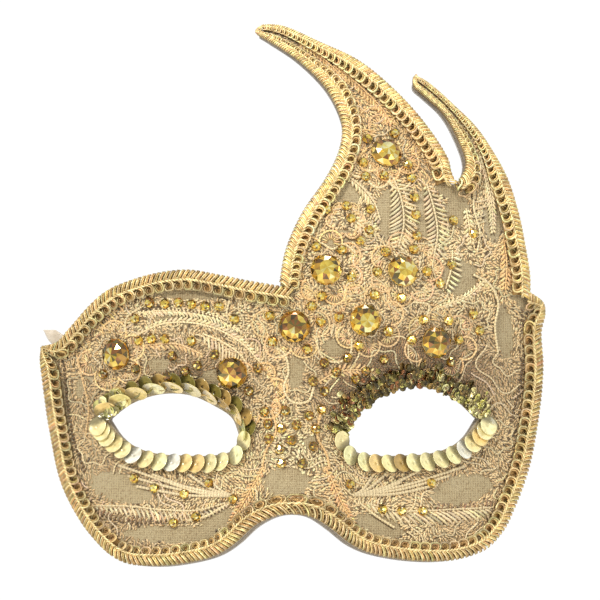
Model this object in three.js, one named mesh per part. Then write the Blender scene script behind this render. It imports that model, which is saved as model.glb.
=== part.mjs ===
// A venetian masquerade half mask: a curved shell covered with cloth and embroidered lace, lined
// behind, edged with gimp braid, with sequins round the eyes and faceted stones glued on.
// Millimetres, +Z up. The mask faces -Y and the wearer is on its +Y side. The origin is on the
// lining over the bridge of the nose, on the line of the eyes.
import * as THREE from "three";

// ---- Driving dimensions ----
const mask_half_width = 83;
const horn_height = 133;
const cheek_depth = 48.5;
const wrap_radius = 104; // the round that the mask is bent to, seen from above
const wrap_reach = 62; // half the width that is bent: the temples beyond it are straight
const lean_start = 36; // height where the forehead and horns begin to lean back
const lean_slope = 0.7;
const lean_blend = 32;
const nose_height = 12;
const nose_half_width = 16;
const nose_top = 26;
const nose_foot = -32;
const socket_depth = 7;
const socket_half_length = 27;
const socket_half_height = 15;
const socket_x = 39;
const cheek_flare = 6;
const cheek_flare_height = 40;

const lining_thickness = 0.5;
const shell_thickness = 1.5;
const cloth_thickness = 0.3;
const lace_thickness = 0.4;
const glue_gap = 0.15; // between two sheets of the same shape
const trim_gap = 0.55; // between the lace and a trim that bridges its curves

const braid_width = 6.5;
const braid_height = 2.2;
const braid_overhang = 1; // how far the braid stands out past the shell's edge
const braid_end_gap = 0.3;
const tip_share = 0.86; // of the room in a narrow tip, how much each of its two braids may fill

const eye_inner_x = 16.2;
const eye_length = 45;
const left_eye_rise = 11.4;
const right_eye_rise = 13.8;
const eye_drop = 11.6;
const sequin_diameter = 6;
const sequin_pitch = 3.7;
const sequin_height = 1.2;
const sequin_overhang = 0.5; // how far the sequins stand over the eye opening

const large_stone_diameter = 10.9;
const large_stone_height = 3.6;
const small_stone_diameter = 4;
const small_stone_height = 1.7;
const petal_gap = 1.2; // between a large stone and the small stones round it
const stone_seat = 0.3; // extra gap under a stone, whose base is flat on a curved face
const stone_gap = 0.3; // least gap between a stone and a braid or another small stone

const tab_width = 10;
const tab_length = 13;
const tab_thickness = 1;
const tab_inset = 7.5; // from the tip of the temple to the middle of the tab

const outline_step = 5;
const sheet_step = 7.6;
const slope_step = 0.05;

// The heights of each layer above the wearer's side of the lining, along the surface's normal.
const shell_back = lining_thickness + glue_gap;
const shell_front = shell_back + shell_thickness;
const cloth_back = shell_front + glue_gap;
const cloth_front = cloth_back + cloth_thickness;
const lace_back = cloth_front + glue_gap;
const lace_front = lace_back + lace_thickness;
const trim_back = lace_front + trim_gap;

// ---- Outline ----
// Seen from the front, x to the right and z up, in millimetres on a mask of the drawn sizes, which
// plan() stretches to the driving ones. A run is smooth, and runs meet at corners. Each stretch
// has a braid of its own, and ends where the next one starts.
const drawn_half_width = 83;
const drawn_horn_height = 133;
const drawn_cheek_depth = 48.5;
const outline_runs = [
  {
    left_brow: [
      [-82.9, 26], [-77.2, 27.6], [-73.4, 31.6], [-66.5, 39.1], [-59.8, 44.4], [-53.2, 47.2],
      [-43.5, 49.8], [-33.5, 50.7], [-24, 49.2], [-14.4, 47.3],
    ],
  },
  {
    tall_horn_inner: [
      [-4.6, 45.7], [-2.5, 56.8], [2.7, 68.7], [10.6, 80.7], [14.7, 89.6], [15.8, 96.9],
      [14.5, 103.1], [9.8, 112], [0.3, 121.7], [-9.3, 128.3], [-12.5, 130.7],
    ],
    tall_horn_outer: [
      [-10.8, 132.8], [-4.3, 132.9], [9.2, 126.9], [21.3, 120.8], [32.4, 111.5], [43, 99.4],
      [50.5, 87.2], [51.6, 82.5],
    ],
    short_horn_inner: [
      [52.9, 80.1], [55, 82.3], [56.3, 86.7], [52.6, 97.5], [48.7, 103.9], [42.9, 109.3],
      [39.5, 112.6],
    ],
    short_horn_outer: [
      [39.7, 115.6], [42.4, 114.9], [46.5, 111.9], [53, 105.8], [59.1, 99.7], [63.5, 93.7],
      [70.2, 81.5], [74, 69.4], [75.7, 60.8], [77.5, 49],
    ],
  },
  {
    right_side: [
      [77.5, 43.8], [82.2, 40.5], [82.8, 37.1], [81.4, 31], [82, 19.8], [81.3, 7.3], [78.3, -11.6],
      [75.5, -20.9], [71.7, -30.2], [68.6, -36.4],
    ],
    bottom: [
      [63.2, -42.4], [58.6, -44.8], [50.4, -46.8], [37.2, -46.5], [23.7, -43.8], [16.8, -40.6],
      [10.2, -35.3], [4.3, -31.4], [0, -30.6], [-4.3, -31.2], [-10.2, -34.3], [-16.9, -40.4],
      [-23.7, -44.6], [-37.1, -47.9], [-46.6, -48.5], [-53.3, -47.8],
    ],
    left_side: [
      [-58.5, -45.2], [-64.6, -39.3], [-69.3, -33.2], [-75.7, -20.9], [-80.1, -2.1], [-82.6, 16.4],
      [-83.2, 22],
    ],
  },
];

// The upper and the lower lid, from the inner end (0) to the outer corner (1) along the eye, with
// heights as shares of the rise and the drop.
const upper_lid = [
  [0, -0.4], [0.06, 0.2], [0.21, 0.64], [0.35, 0.91], [0.48, 1], [0.62, 0.96], [0.76, 0.78],
  [0.9, 0.45], [1, 0.12],
];
const lower_lid = [
  [0.9, -0.42], [0.76, -0.8], [0.62, -0.96], [0.45, -1], [0.21, -0.98], [0.05, -0.8],
];

// ---- Surface ----
const smooth = (from, to, value) => THREE.MathUtils.smoothstep(value, from, to);

function raw_depth(x, z) {
  const bent = Math.min(Math.abs(x), wrap_reach);
  const drop = Math.sqrt(wrap_radius ** 2 - bent ** 2);
  const wrap = wrap_radius - drop + ((Math.abs(x) - bent) * bent) / drop;
  const above = Math.max(0, z - lean_start);
  const lean = lean_slope * (Math.hypot(above, lean_blend) - lean_blend);
  const nose = nose_height * (1 - smooth(nose_foot, nose_top, z)) * Math.exp(-((x / nose_half_width) ** 2));
  const from_socket = Math.hypot((Math.abs(x) - socket_x) / socket_half_length, z / socket_half_height);
  const socket = socket_depth * Math.exp(-(from_socket ** 2));
  const cheek = cheek_flare * (Math.min(0, z) / cheek_flare_height) ** 2;
  return wrap + lean - nose + socket - cheek;
}

// How far behind the origin the wearer's side of the lining lies.
const depth = (x, z) => raw_depth(x, z) - raw_depth(0, 0);

// The direction out of the front of the mask.
function front_normal(x, z) {
  const slope_x = (depth(x + slope_step, z) - depth(x - slope_step, z)) / (2 * slope_step);
  const slope_z = (depth(x, z + slope_step) - depth(x, z - slope_step)) / (2 * slope_step);
  return new THREE.Vector3(slope_x, -1, slope_z).normalize();
}

// The point at a height above the surface over a plan point.
function place(point, height) {
  return new THREE.Vector3(point.x, depth(point.x, point.y), point.y).addScaledVector(
    front_normal(point.x, point.y),
    height,
  );
}

// ---- Plan geometry: Vector2 holds x and z ----
function plan([x, z]) {
  const rise = z > 0 ? horn_height / drawn_horn_height : cheek_depth / drawn_cheek_depth;
  return new THREE.Vector2((x * mask_half_width) / drawn_half_width, z * rise);
}

// Points along a smooth curve through control points, without its last point. Each also says
// which control point it follows.
function sample_run(controls) {
  const curve = new THREE.CatmullRomCurve3(
    controls.map((p) => new THREE.Vector3(p.x, p.y, 0)),
    false,
    "centripetal",
  );
  const points = [];
  for (let i = 0; i + 1 < controls.length; i++) {
    const steps = Math.ceil(controls[i].distanceTo(controls[i + 1]) / outline_step);
    for (let k = 0; k < steps; k++) {
      const at = curve.getPoint((i + k / steps) / (controls.length - 1));
      points.push({ at: new THREE.Vector2(at.x, at.y), control: i });
    }
  }
  return points;
}

// The mitre direction at each point of a closed loop, to the left of its way round: a step of 1
// along it moves both neighbouring sides by 1.
function mitres(loop) {
  return loop.map((p, i) => {
    const before = loop.at(i - 1);
    const after = loop[(i + 1) % loop.length];
    const into = p.clone().sub(before).normalize();
    const out = after.clone().sub(p).normalize();
    const left = new THREE.Vector2(-into.y - out.y, into.x + out.x).normalize();
    return left.divideScalar(Math.max(0.75, left.dot(new THREE.Vector2(-into.y, into.x))));
  });
}

// The radius of the largest circle inside a loop that touches it at one point. It is kept clear
// of the loop's corners, and of the edges between them apart from the two that meet there.
function room_at(loop, i, inward) {
  let room = Infinity;
  loop.forEach((q, k) => {
    const next = (k + 1) % loop.length;
    for (const share of k === i || next === i ? [0] : [0, 0.25, 0.5, 0.75]) {
      const to = q.clone().lerp(loop[next], share).sub(loop[i]);
      const along = to.dot(inward);
      if (along > 1e-6) room = Math.min(room, to.lengthSq() / (2 * along));
    }
  });
  return room;
}

function inside(loop, p) {
  let odd = false;
  loop.forEach((a, i) => {
    const b = loop.at(i - 1);
    if (a.y > p.y !== b.y > p.y && p.x < a.x + ((p.y - a.y) * (b.x - a.x)) / (b.y - a.y)) odd = !odd;
  });
  return odd;
}

// Delaunay triangles of plan points, by adding one point at a time.
function triangulate(points) {
  const far = 4 * (mask_half_width + horn_height);
  const all = points.concat([
    new THREE.Vector2(-far, -far),
    new THREE.Vector2(far, -far),
    new THREE.Vector2(0, far),
  ]);
  const with_circle = (a, b, c) => {
    const [p, q, r] = [all[a], all[b], all[c]];
    const [qx, qy, rx, ry] = [q.x - p.x, q.y - p.y, r.x - p.x, r.y - p.y];
    const twice = 2 * (qx * ry - qy * rx);
    const x = (ry * (qx * qx + qy * qy) - qy * (rx * rx + ry * ry)) / twice;
    const y = (qx * (rx * rx + ry * ry) - rx * (qx * qx + qy * qy)) / twice;
    return { corners: [a, b, c], centre: new THREE.Vector2(p.x + x, p.y + y), reach: x * x + y * y };
  };
  let triangles = [with_circle(points.length, points.length + 1, points.length + 2)];
  points.forEach((p, index) => {
    const edges = new Map();
    const kept = [];
    for (const t of triangles) {
      if (t.centre.distanceToSquared(p) >= t.reach) {
        kept.push(t);
        continue;
      }
      for (let k = 0; k < 3; k++) {
        const [a, b] = [t.corners[k], t.corners[(k + 1) % 3]];
        if (!edges.delete(b + "," + a)) edges.set(a + "," + b, [a, b]);
      }
    }
    triangles = kept.concat([...edges.values()].map(([a, b]) => with_circle(a, b, index)));
  });
  return triangles.map((t) => t.corners).filter((t) => t.every((k) => k < points.length));
}

// The outline of the braid's outer edge, with the inward direction and the room at each point.
function make_outline() {
  const points = [];
  outline_runs.forEach((run, r) => {
    const next = Object.values(outline_runs[(r + 1) % outline_runs.length])[0][0];
    const stretches = Object.entries(run);
    const controls = stretches.flatMap(([, list]) => list).concat([next]).map(plan);
    const names = stretches.flatMap(([name, list]) => list.map(() => name));
    for (const p of sample_run(controls)) points.push({ at: p.at, stretch: names[p.control] });
  });
  const loop = points.map((p) => p.at);
  // The runs go round clockwise seen from the front, so the inside is to the right.
  const inward = mitres(loop).map((v) => v.negate());
  points.forEach((p, i) => {
    p.inward = inward[i];
    p.room = room_at(loop, i, inward[i].clone().normalize());
  });
  return points;
}

// One eye opening, from its inner end along the upper lid to the outer corner and back.
function make_eye(side, rise) {
  const lid_point = ([u, v]) =>
    plan([side * (eye_inner_x + u * eye_length), v > 0 ? v * rise : v * eye_drop]);
  const upper = upper_lid.map(lid_point);
  const lower = [upper.at(-1)].concat(lower_lid.map(lid_point));
  const upper_points = sample_run(upper).map((p) => p.at);
  const lower_points = sample_run(lower.concat([upper[0]])).map((p) => p.at);
  const loop = upper_points.concat(lower_points);
  // The way round is clockwise seen from the front on the right, and the other way on the left.
  const outward = mitres(loop).map((v) => v.multiplyScalar(side));
  return { loop, outward, corner: upper_points.length };
}

const outline = make_outline();
const left_eye = make_eye(-1, left_eye_rise);
const right_eye = make_eye(1, right_eye_rise);

// The region that every sheet covers, as plan points and triangles.
function make_region() {
  const rim = outline.map((p) => p.at.clone().addScaledVector(p.inward, braid_overhang));
  const loops = [rim, left_eye.loop, right_eye.loop];
  const covered = (p) => inside(rim, p) && !inside(left_eye.loop, p) && !inside(right_eye.loop, p);
  const edge_points = loops.flat();
  const points = [...edge_points];
  const row_height = (sheet_step * Math.sqrt(3)) / 2;
  for (let row = 0, z = -cheek_depth; z < horn_height; row++, z += row_height) {
    for (let x = -mask_half_width + (row % 2) * (sheet_step / 2); x < mask_half_width; x += sheet_step) {
      const p = new THREE.Vector2(x, z);
      if (covered(p) && edge_points.every((q) => q.distanceTo(p) > sheet_step / 2)) points.push(p);
    }
  }
  const middle = ([a, b, c]) => points[a].clone().add(points[b]).add(points[c]).divideScalar(3);
  return { points, loops, triangles: triangulate(points).filter((t) => covered(middle(t))) };
}

const region = make_region();

// ---- Solids ----
// A closed body from vertices and triangles, turned so that its faces point out.
function closed_body(vertices, triangles) {
  let volume = 0;
  for (const [a, b, c] of triangles) {
    volume += vertices[a].dot(vertices[b].clone().cross(vertices[c]));
  }
  const order = volume < 0 ? ([a, b, c]) => [a, c, b] : (t) => t;
  const geometry = new THREE.BufferGeometry().setFromPoints(vertices);
  geometry.setIndex(triangles.flatMap(order));
  geometry.computeVertexNormals();
  return geometry;
}

// A sheet over the whole mask between two heights.
function sheet(back, front) {
  const count = region.points.length;
  const vertices = [back, front].flatMap((height) => region.points.map((p) => place(p, height)));
  const triangles = [];
  for (const [a, b, c] of region.triangles) {
    triangles.push([a, c, b], [a + count, b + count, c + count]);
  }
  // A side of only one triangle is on the rim, and gets two triangles from back to front.
  const sides = new Set(region.triangles.flatMap(([a, b, c]) => [a + "," + b, b + "," + c, c + "," + a]));
  for (const side of sides) {
    const [a, b] = side.split(",").map(Number);
    if (!sides.has(b + "," + a)) triangles.push([a, b, b + count], [a, b + count, a + count]);
  }
  return closed_body(vertices, triangles);
}

// A strip along stations, each with an outer and an inner plan point. The section is a closed
// list of [share of the way from outer to inner, height].
function strip(stations, section) {
  const size = section.length;
  const vertices = stations.flatMap(({ outer, inner }) =>
    section.map(([share, height]) => place(outer.clone().lerp(inner, share), height)),
  );
  const triangles = [];
  for (let i = 0; i + 1 < stations.length; i++) {
    for (let k = 0; k < size; k++) {
      const [a, b] = [i * size + k, i * size + ((k + 1) % size)];
      triangles.push([a, b, b + size], [a, b + size, a + size]);
    }
  }
  const last = (stations.length - 1) * size;
  for (let k = 1; k + 1 < size; k++) {
    triangles.push([0, k + 1, k], [last, last + k, last + k + 1]);
  }
  return closed_body(vertices, triangles);
}

const dome = [
  [0, 0], [1, 0], [1, 0.45], [0.8, 0.87], [0.5, 1], [0.2, 0.87], [0, 0.45],
].map(([share, rise]) => [share, trim_back + rise * braid_height]);

// How wide a braid is at a point of the outline: as wide as the room there lets it be.
const braid_width_at = (p) => Math.min(braid_width, tip_share * p.room - braid_end_gap / 2);

// The braid along one stretch of the outline. Its ends stop short of the next braid's by the gap.
function braid(stretch) {
  const first = outline.findIndex((p) => p.stretch === stretch);
  const count = outline.filter((p) => p.stretch === stretch).length;
  const stations = [];
  for (let i = first; i <= first + count; i++) {
    const p = outline[i % outline.length];
    const outer = p.at.clone();
    if (i === first || i === first + count) {
      const neighbour = outline[i === first ? i + 1 : i - 1];
      outer.add(neighbour.at.clone().sub(p.at).setLength(braid_end_gap / 2));
    }
    stations.push({ outer, inner: outer.clone().addScaledVector(p.inward, braid_width_at(p)) });
  }
  return strip(stations, dome);
}

// The string of sequins along one lid: its edges swell at each sequin and draw in between.
function sequin_string(eye, upper) {
  const lid = upper ? eye.loop.slice(0, eye.corner + 1) : eye.loop.slice(eye.corner);
  const outward = upper ? eye.outward.slice(0, eye.corner + 1) : eye.outward.slice(eye.corner);
  const lengths = [0];
  for (let i = 1; i < lid.length; i++) lengths.push(lengths[i - 1] + lid[i].distanceTo(lid[i - 1]));
  const usable = lengths.at(-1) - 2 * sequin_overhang;
  const halves = 2 * Math.floor(usable / sequin_pitch) + 1;
  const neck = Math.sqrt(sequin_diameter ** 2 - sequin_pitch ** 2);
  const stations = [];
  for (let k = 0; k < halves; k++) {
    const along = sequin_overhang + (usable * k) / (halves - 1);
    const i = Math.min(lid.length - 2, lengths.findLastIndex((l) => l <= along));
    const share = (along - lengths[i]) / (lengths[i + 1] - lengths[i]);
    const out = outward[i].clone().normalize().lerp(outward[i + 1].clone().normalize(), share).normalize();
    const width = k % 2 ? sequin_diameter : neck;
    const middle = lid[i].clone().lerp(lid[i + 1], share);
    middle.addScaledVector(out, sequin_diameter / 2 - sequin_overhang);
    stations.push({
      outer: middle.clone().addScaledVector(out, width / 2),
      inner: middle.clone().addScaledVector(out, -width / 2),
    });
  }
  const [low, high] = [trim_back, trim_back + sequin_height];
  return strip(stations, [[0, low], [1, low], [1, high], [0, high]]);
}

// A faceted stone with a flat back, made round the Y axis.
function stone(diameter, height, sides) {
  const r = diameter / 2;
  const profile = [
    [0, 0], [0.92 * r, 0], [r, 0.22 * height], [0.78 * r, 0.68 * height], [0.45 * r, height], [0, height],
  ];
  return new THREE.LatheGeometry(profile.map(([x, y]) => new THREE.Vector2(x, y)), sides);
}

// A flat ribbon tab, which lies against the lining.
const ribbon_tab = () => new THREE.BoxGeometry(tab_width, tab_thickness, tab_length);

// ---- Materials ----
const matt = (color, roughness) => new THREE.MeshStandardMaterial({ color, roughness, metalness: 0 });
const shiny = (color, roughness) => new THREE.MeshStandardMaterial({ color, roughness, metalness: 0.8 });
const shell_material = matt(0xd8d0c0, 0.6);
const cloth_material = matt(0xc4b8a0, 0.8);
const lace_material = matt(0xcfa774, 0.7);
const lining_material = matt(0xd5cdc0, 0.95);
const braid_material = shiny(0xd2a75e, 0.45);
const sequin_material = shiny(0xe2be72, 0.2);
const glitter_material = shiny(0x8f8236, 0.35);
const stone_material = shiny(0xc98f22, 0.1);
const ribbon_material = matt(0xe2d6c2, 0.4);

// ---- Assembly ----
const mask = new THREE.Group();

function add(name, geometry, material) {
  const mesh = new THREE.Mesh(geometry, material);
  mesh.name = name;
  mask.add(mesh);
  return mesh;
}

// Sets a piece made round +Y with that axis along the surface's normal, at a height above it.
function seat(mesh, point, height) {
  mesh.position.copy(place(point, height));
  mesh.quaternion.setFromUnitVectors(new THREE.Vector3(0, 1, 0), front_normal(point.x, point.y));
}

function add_sheets() {
  add("lining", sheet(0, lining_thickness), lining_material);
  add("shell", sheet(shell_back, shell_front), shell_material);
  add("cover_cloth", sheet(cloth_back, cloth_front), cloth_material);
  add("lace_overlay", sheet(lace_back, lace_front), lace_material);
}

function add_braids() {
  for (const stretch of outline_runs.flatMap((run) => Object.keys(run))) {
    add(stretch + "_braid", braid(stretch), braid_material);
  }
}

function add_sequins() {
  add("left_upper_sequins", sequin_string(left_eye, true), sequin_material);
  add("left_lower_sequins", sequin_string(left_eye, false), sequin_material);
  add("right_upper_glitter", sequin_string(right_eye, true), glitter_material);
  add("right_lower_sequins", sequin_string(right_eye, false), sequin_material);
}

// The plan point at a distance along the surface from another, in a direction in degrees.
function beside(point, degrees, distance) {
  const angle = THREE.MathUtils.degToRad(degrees);
  const normal = front_normal(point.x, point.y);
  const across = Math.cos(angle) * Math.cos(Math.atan(normal.x / normal.y));
  const up = Math.sin(angle) * Math.cos(Math.atan(normal.z / normal.y));
  return point.clone().addScaledVector(new THREE.Vector2(across, up), distance);
}

// The nose stone sits beside the left eye's sequins, a quarter of the way along the upper lid.
function nose_stone_point() {
  const i = Math.round(left_eye.corner / 4);
  const off = sequin_diameter - sequin_overhang + petal_gap + large_stone_diameter / 2;
  return left_eye.loop[i].clone().addScaledVector(left_eye.outward[i], off);
}

// The left centre stone hangs below the inner corner of the braids, where the brow meets the horn.
function left_centre_point() {
  const notch = outline.find((p) => p.stretch === "tall_horn_inner");
  const corner = notch.at.clone().addScaledVector(notch.inward, braid_width);
  return corner.sub(new THREE.Vector2(0, large_stone_diameter / 2 + stone_gap));
}

// Whether a small stone at a plan point keeps its gap to every braid and to the small stones set.
function small_stone_fits(point, stones_set) {
  const reach = small_stone_diameter / 2 + stone_gap;
  return (
    outline.every((p) => p.at.distanceTo(point) > braid_width_at(p) + reach) &&
    stones_set.every((q) => q.distanceTo(point) > small_stone_diameter + stone_gap)
  );
}

// Each large stone has its place and the directions, in degrees anticlockwise from the right, of
// the small stones round it. A small stone that has no room there turns round the large one to
// the nearest direction that has.
function add_stones() {
  const flowers = {
    left_temple: [plan([-57.5, 23.7]), [-130, -32]],
    nose: [nose_stone_point(), [135, 8, -47]],
    left_centre: [left_centre_point(), [156, 50, 10, -61, -145]],
    right_centre: [plan([23.3, 35]), [173, 68, -25, -103]],
    right_brow: [plan([46.3, 27.6]), [120, 56, 6, -47, 174]],
    left_forehead: [plan([10.7, 50.8]), [118, 53, -15, -102]],
    right_forehead: [plan([35.5, 50.4]), [130, 61, 1, -92, 180]],
    tall_horn: [plan([30.5, 89.5]), [70, 146, -168, -95, -29]],
  };
  const seat_height = trim_back + stone_seat;
  const ring = large_stone_diameter / 2 + petal_gap + small_stone_diameter / 2;
  const turns = Array.from({ length: 60 }, (_, k) => (k % 2 ? 1 : -1) * Math.ceil(k / 2) * 3);
  const stones_set = [];
  for (const [name, [point, directions]] of Object.entries(flowers)) {
    const large = stone(large_stone_diameter, large_stone_height, 10);
    seat(add(name + "_stone", large, stone_material), point, seat_height);
    for (const degrees of directions) {
      const places = turns.map((turn) => beside(point, degrees + turn, ring));
      const chosen = places.find((p) => small_stone_fits(p, stones_set)) ?? places[0];
      stones_set.push(chosen);
      const small = stone(small_stone_diameter, small_stone_height, 8);
      const label = String(stones_set.length).padStart(2, "0");
      seat(add("small_stone_" + label, small, stone_material), chosen, seat_height);
    }
  }
}

// The ribbon tabs lie behind the lining at the temples. The left one stands a little above the
// corner of the temple.
function add_ribbon_tabs() {
  const tabs = { left: [-1, 24.5], right: [1, 30] };
  for (const [name, [side, height]] of Object.entries(tabs)) {
    const point = plan([side * drawn_half_width, height]);
    point.x -= side * tab_inset;
    const mesh = add(name + "_ribbon_tab", ribbon_tab(), ribbon_material);
    seat(mesh, point, -trim_gap - tab_thickness / 2);
  }
}

add_sheets();
add_braids();
add_sequins();
add_stones();
add_ribbon_tabs();

export default mask;
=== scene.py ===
import math

import bpy
import numpy as np
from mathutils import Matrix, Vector
from mathutils.geometry import delaunay_2d_cdt


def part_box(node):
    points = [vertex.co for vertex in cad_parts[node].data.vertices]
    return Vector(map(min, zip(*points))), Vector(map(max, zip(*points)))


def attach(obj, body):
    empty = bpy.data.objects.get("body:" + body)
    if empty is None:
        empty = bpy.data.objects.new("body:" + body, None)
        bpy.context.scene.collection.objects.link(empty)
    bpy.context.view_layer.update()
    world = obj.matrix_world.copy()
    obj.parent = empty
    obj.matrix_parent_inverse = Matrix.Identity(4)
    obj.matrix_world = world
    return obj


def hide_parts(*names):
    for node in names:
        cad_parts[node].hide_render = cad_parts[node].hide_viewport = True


# The looks of a venetian masquerade half mask, in millimetres in the CAD frame. The plan is seen
# from the front, x to the right and z up. A height is the distance in front of the lining's
# wearer side, along the surface's normal.

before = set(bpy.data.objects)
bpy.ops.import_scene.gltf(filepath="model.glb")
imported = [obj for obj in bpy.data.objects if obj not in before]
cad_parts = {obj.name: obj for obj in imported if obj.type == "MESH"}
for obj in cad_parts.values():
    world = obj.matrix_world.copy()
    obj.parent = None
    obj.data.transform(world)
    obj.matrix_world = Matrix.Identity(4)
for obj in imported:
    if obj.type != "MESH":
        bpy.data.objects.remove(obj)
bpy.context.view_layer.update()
METRES = 0.001
rng = np.random.default_rng(7)

# ---- Dimensions that the CAD part has too ----
WRAP_RADIUS = 104
WRAP_REACH = 62
LEAN_START = 36
LEAN_SLOPE = 0.7
LEAN_BLEND = 32
NOSE_HEIGHT = 12
NOSE_HALF_WIDTH = 16
NOSE_TOP = 26
NOSE_FOOT = -32
SOCKET_DEPTH = 7
SOCKET_HALF_LENGTH = 27
SOCKET_HALF_HEIGHT = 15
SOCKET_X = 39
CHEEK_FLARE = 6
CHEEK_FLARE_HEIGHT = 40

LINING = (0.0, 0.5)
SHELL = (0.65, 2.15)
CLOTH = (2.3, 2.6)
LACE = (2.75, 3.15)
TRIM_BACK = 3.7

BRAID_WIDTH = 6.5
BRAID_OVERHANG = 1
TIP_SHARE = 0.86
SEQUIN_DIAMETER = 6
SEQUIN_OVERHANG = 0.5
STONE_SEAT = 4.0
EYE_INNER_X = 16.2
EYE_LENGTH = 45
LEFT_EYE_RISE = 11.4
RIGHT_EYE_RISE = 13.8
EYE_DROP = 11.6

# The outline's control points, stretch by stretch, clockwise seen from the front.
OUTLINE_RUNS = [
    {
        "left_brow": [
            (-82.9, 26), (-77.2, 27.6), (-73.4, 31.6), (-66.5, 39.1), (-59.8, 44.4), (-53.2, 47.2),
            (-43.5, 49.8), (-33.5, 50.7), (-24, 49.2), (-14.4, 47.3),
        ],
    },
    {
        "tall_horn_inner": [
            (-4.6, 45.7), (-2.5, 56.8), (2.7, 68.7), (10.6, 80.7), (14.7, 89.6), (15.8, 96.9),
            (14.5, 103.1), (9.8, 112), (0.3, 121.7), (-9.3, 128.3), (-12.5, 130.7),
        ],
        "tall_horn_outer": [
            (-10.8, 132.8), (-4.3, 132.9), (9.2, 126.9), (21.3, 120.8), (32.4, 111.5), (43, 99.4),
            (50.5, 87.2), (51.6, 82.5),
        ],
        "short_horn_inner": [
            (52.9, 80.1), (55, 82.3), (56.3, 86.7), (52.6, 97.5), (48.7, 103.9), (42.9, 109.3),
            (39.5, 112.6),
        ],
        "short_horn_outer": [
            (39.7, 115.6), (42.4, 114.9), (46.5, 111.9), (53, 105.8), (59.1, 99.7), (63.5, 93.7),
            (70.2, 81.5), (74, 69.4), (75.7, 60.8), (77.5, 49),
        ],
    },
    {
        "right_side": [
            (77.5, 43.8), (82.2, 40.5), (82.8, 37.1), (81.4, 31), (82, 19.8), (81.3, 7.3),
            (78.3, -11.6), (75.5, -20.9), (71.7, -30.2), (68.6, -36.4),
        ],
        "bottom": [
            (63.2, -42.4), (58.6, -44.8), (50.4, -46.8), (37.2, -46.5), (23.7, -43.8),
            (16.8, -40.6), (10.2, -35.3), (4.3, -31.4), (0, -30.6), (-4.3, -31.2), (-10.2, -34.3),
            (-16.9, -40.4), (-23.7, -44.6), (-37.1, -47.9), (-46.6, -48.5), (-53.3, -47.8),
        ],
        "left_side": [
            (-58.5, -45.2), (-64.6, -39.3), (-69.3, -33.2), (-75.7, -20.9), (-80.1, -2.1),
            (-82.6, 16.4), (-83.2, 22),
        ],
    },
]
UPPER_LID = [
    (0, -0.4), (0.06, 0.2), (0.21, 0.64), (0.35, 0.91), (0.48, 1), (0.62, 0.96), (0.76, 0.78),
    (0.9, 0.45), (1, 0.12),
]
LOWER_LID = [(0.9, -0.42), (0.76, -0.8), (0.62, -0.96), (0.45, -1), (0.21, -0.98), (0.05, -0.8)]


# ---- The mask's surface ----
def smooth_step(start, end, value):
    share = np.clip((value - start) / (end - start), 0, 1)
    return share * share * (3 - 2 * share)


def raw_depth(x, z):
    """How far back the lining's wearer side lies: bend, lean, nose, eye sockets and cheeks."""
    bent = np.minimum(np.abs(x), WRAP_REACH)
    drop = np.sqrt(WRAP_RADIUS**2 - bent**2)
    wrap = WRAP_RADIUS - drop + (np.abs(x) - bent) * bent / drop
    above = np.maximum(0, z - LEAN_START)
    lean = LEAN_SLOPE * (np.hypot(above, LEAN_BLEND) - LEAN_BLEND)
    nose = NOSE_HEIGHT * (1 - smooth_step(NOSE_FOOT, NOSE_TOP, z)) * np.exp(-((x / NOSE_HALF_WIDTH) ** 2))
    off = np.hypot((np.abs(x) - SOCKET_X) / SOCKET_HALF_LENGTH, z / SOCKET_HALF_HEIGHT)
    socket = SOCKET_DEPTH * np.exp(-(off**2))
    cheek = CHEEK_FLARE * (np.minimum(0, z) / CHEEK_FLARE_HEIGHT) ** 2
    return wrap + lean - nose + socket - cheek


def depth(x, z):
    """The same, measured from the bridge of the nose."""
    return raw_depth(x, z) - raw_depth(0.0, 0.0)


def unit(vectors):
    return vectors / np.maximum(np.linalg.norm(vectors, axis=-1, keepdims=True), 1e-9)


def heading(angle):
    """Unit vectors in the plan at angles from the x axis."""
    return np.stack([np.cos(angle), np.sin(angle)], -1)


def to_left(vectors):
    return np.stack([-vectors[..., 1], vectors[..., 0]], -1)


def front_normal(plan):
    """The surface's direction away from the wearer."""
    x, z = plan[..., 0], plan[..., 1]
    step = 0.05
    slope_x = (depth(x + step, z) - depth(x - step, z)) / (2 * step)
    slope_z = (depth(x, z + step) - depth(x, z - step)) / (2 * step)
    return unit(np.stack([slope_x, -np.ones_like(slope_x), slope_z], -1))


def place(plan, height):
    """The points in space at a height over plan points."""
    plan = np.asarray(plan, float)
    base = np.stack([plan[..., 0], depth(plan[..., 0], plan[..., 1]), plan[..., 1]], -1)
    return base + front_normal(plan) * np.asarray(height, float)[..., None]


# ---- Lines in the plan ----
def curve_through(controls, step):
    """Points at most a step apart along a smooth curve, without its last point, and how many
    controls lie at or before each."""
    given = np.asarray(controls, float)
    knots = np.vstack([2 * given[0] - given[1], given, 2 * given[-1] - given[-2]])
    points, follows = [], []
    for i in range(len(given) - 1):
        p0, p1, p2, p3 = knots[i : i + 4]
        d0, d1, d2 = (math.sqrt(np.linalg.norm(b - a)) for a, b in ((p0, p1), (p1, p2), (p2, p3)))
        leave = ((p1 - p0) / d0 - (p2 - p0) / (d0 + d1) + (p2 - p1) / d1) * d1
        arrive = ((p2 - p1) / d1 - (p3 - p1) / (d1 + d2) + (p3 - p2) / d2) * d1
        count = math.ceil(np.linalg.norm(p2 - p1) / step)
        t = (np.arange(count) / count)[:, None]
        bend = t**2 * (3 * (p2 - p1) - 2 * leave - arrive) + t**3 * (leave + arrive - 2 * (p2 - p1))
        points.append(p1 + t * leave + bend)
        follows += [i] * count
    return np.vstack(points), np.array(follows)


def smooth_line(controls, step=0.6):
    """A whole smooth curve through control points, with its last point."""
    points, _ = curve_through(controls, step)
    return np.vstack([points, np.asarray(controls[-1], float)])


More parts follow.
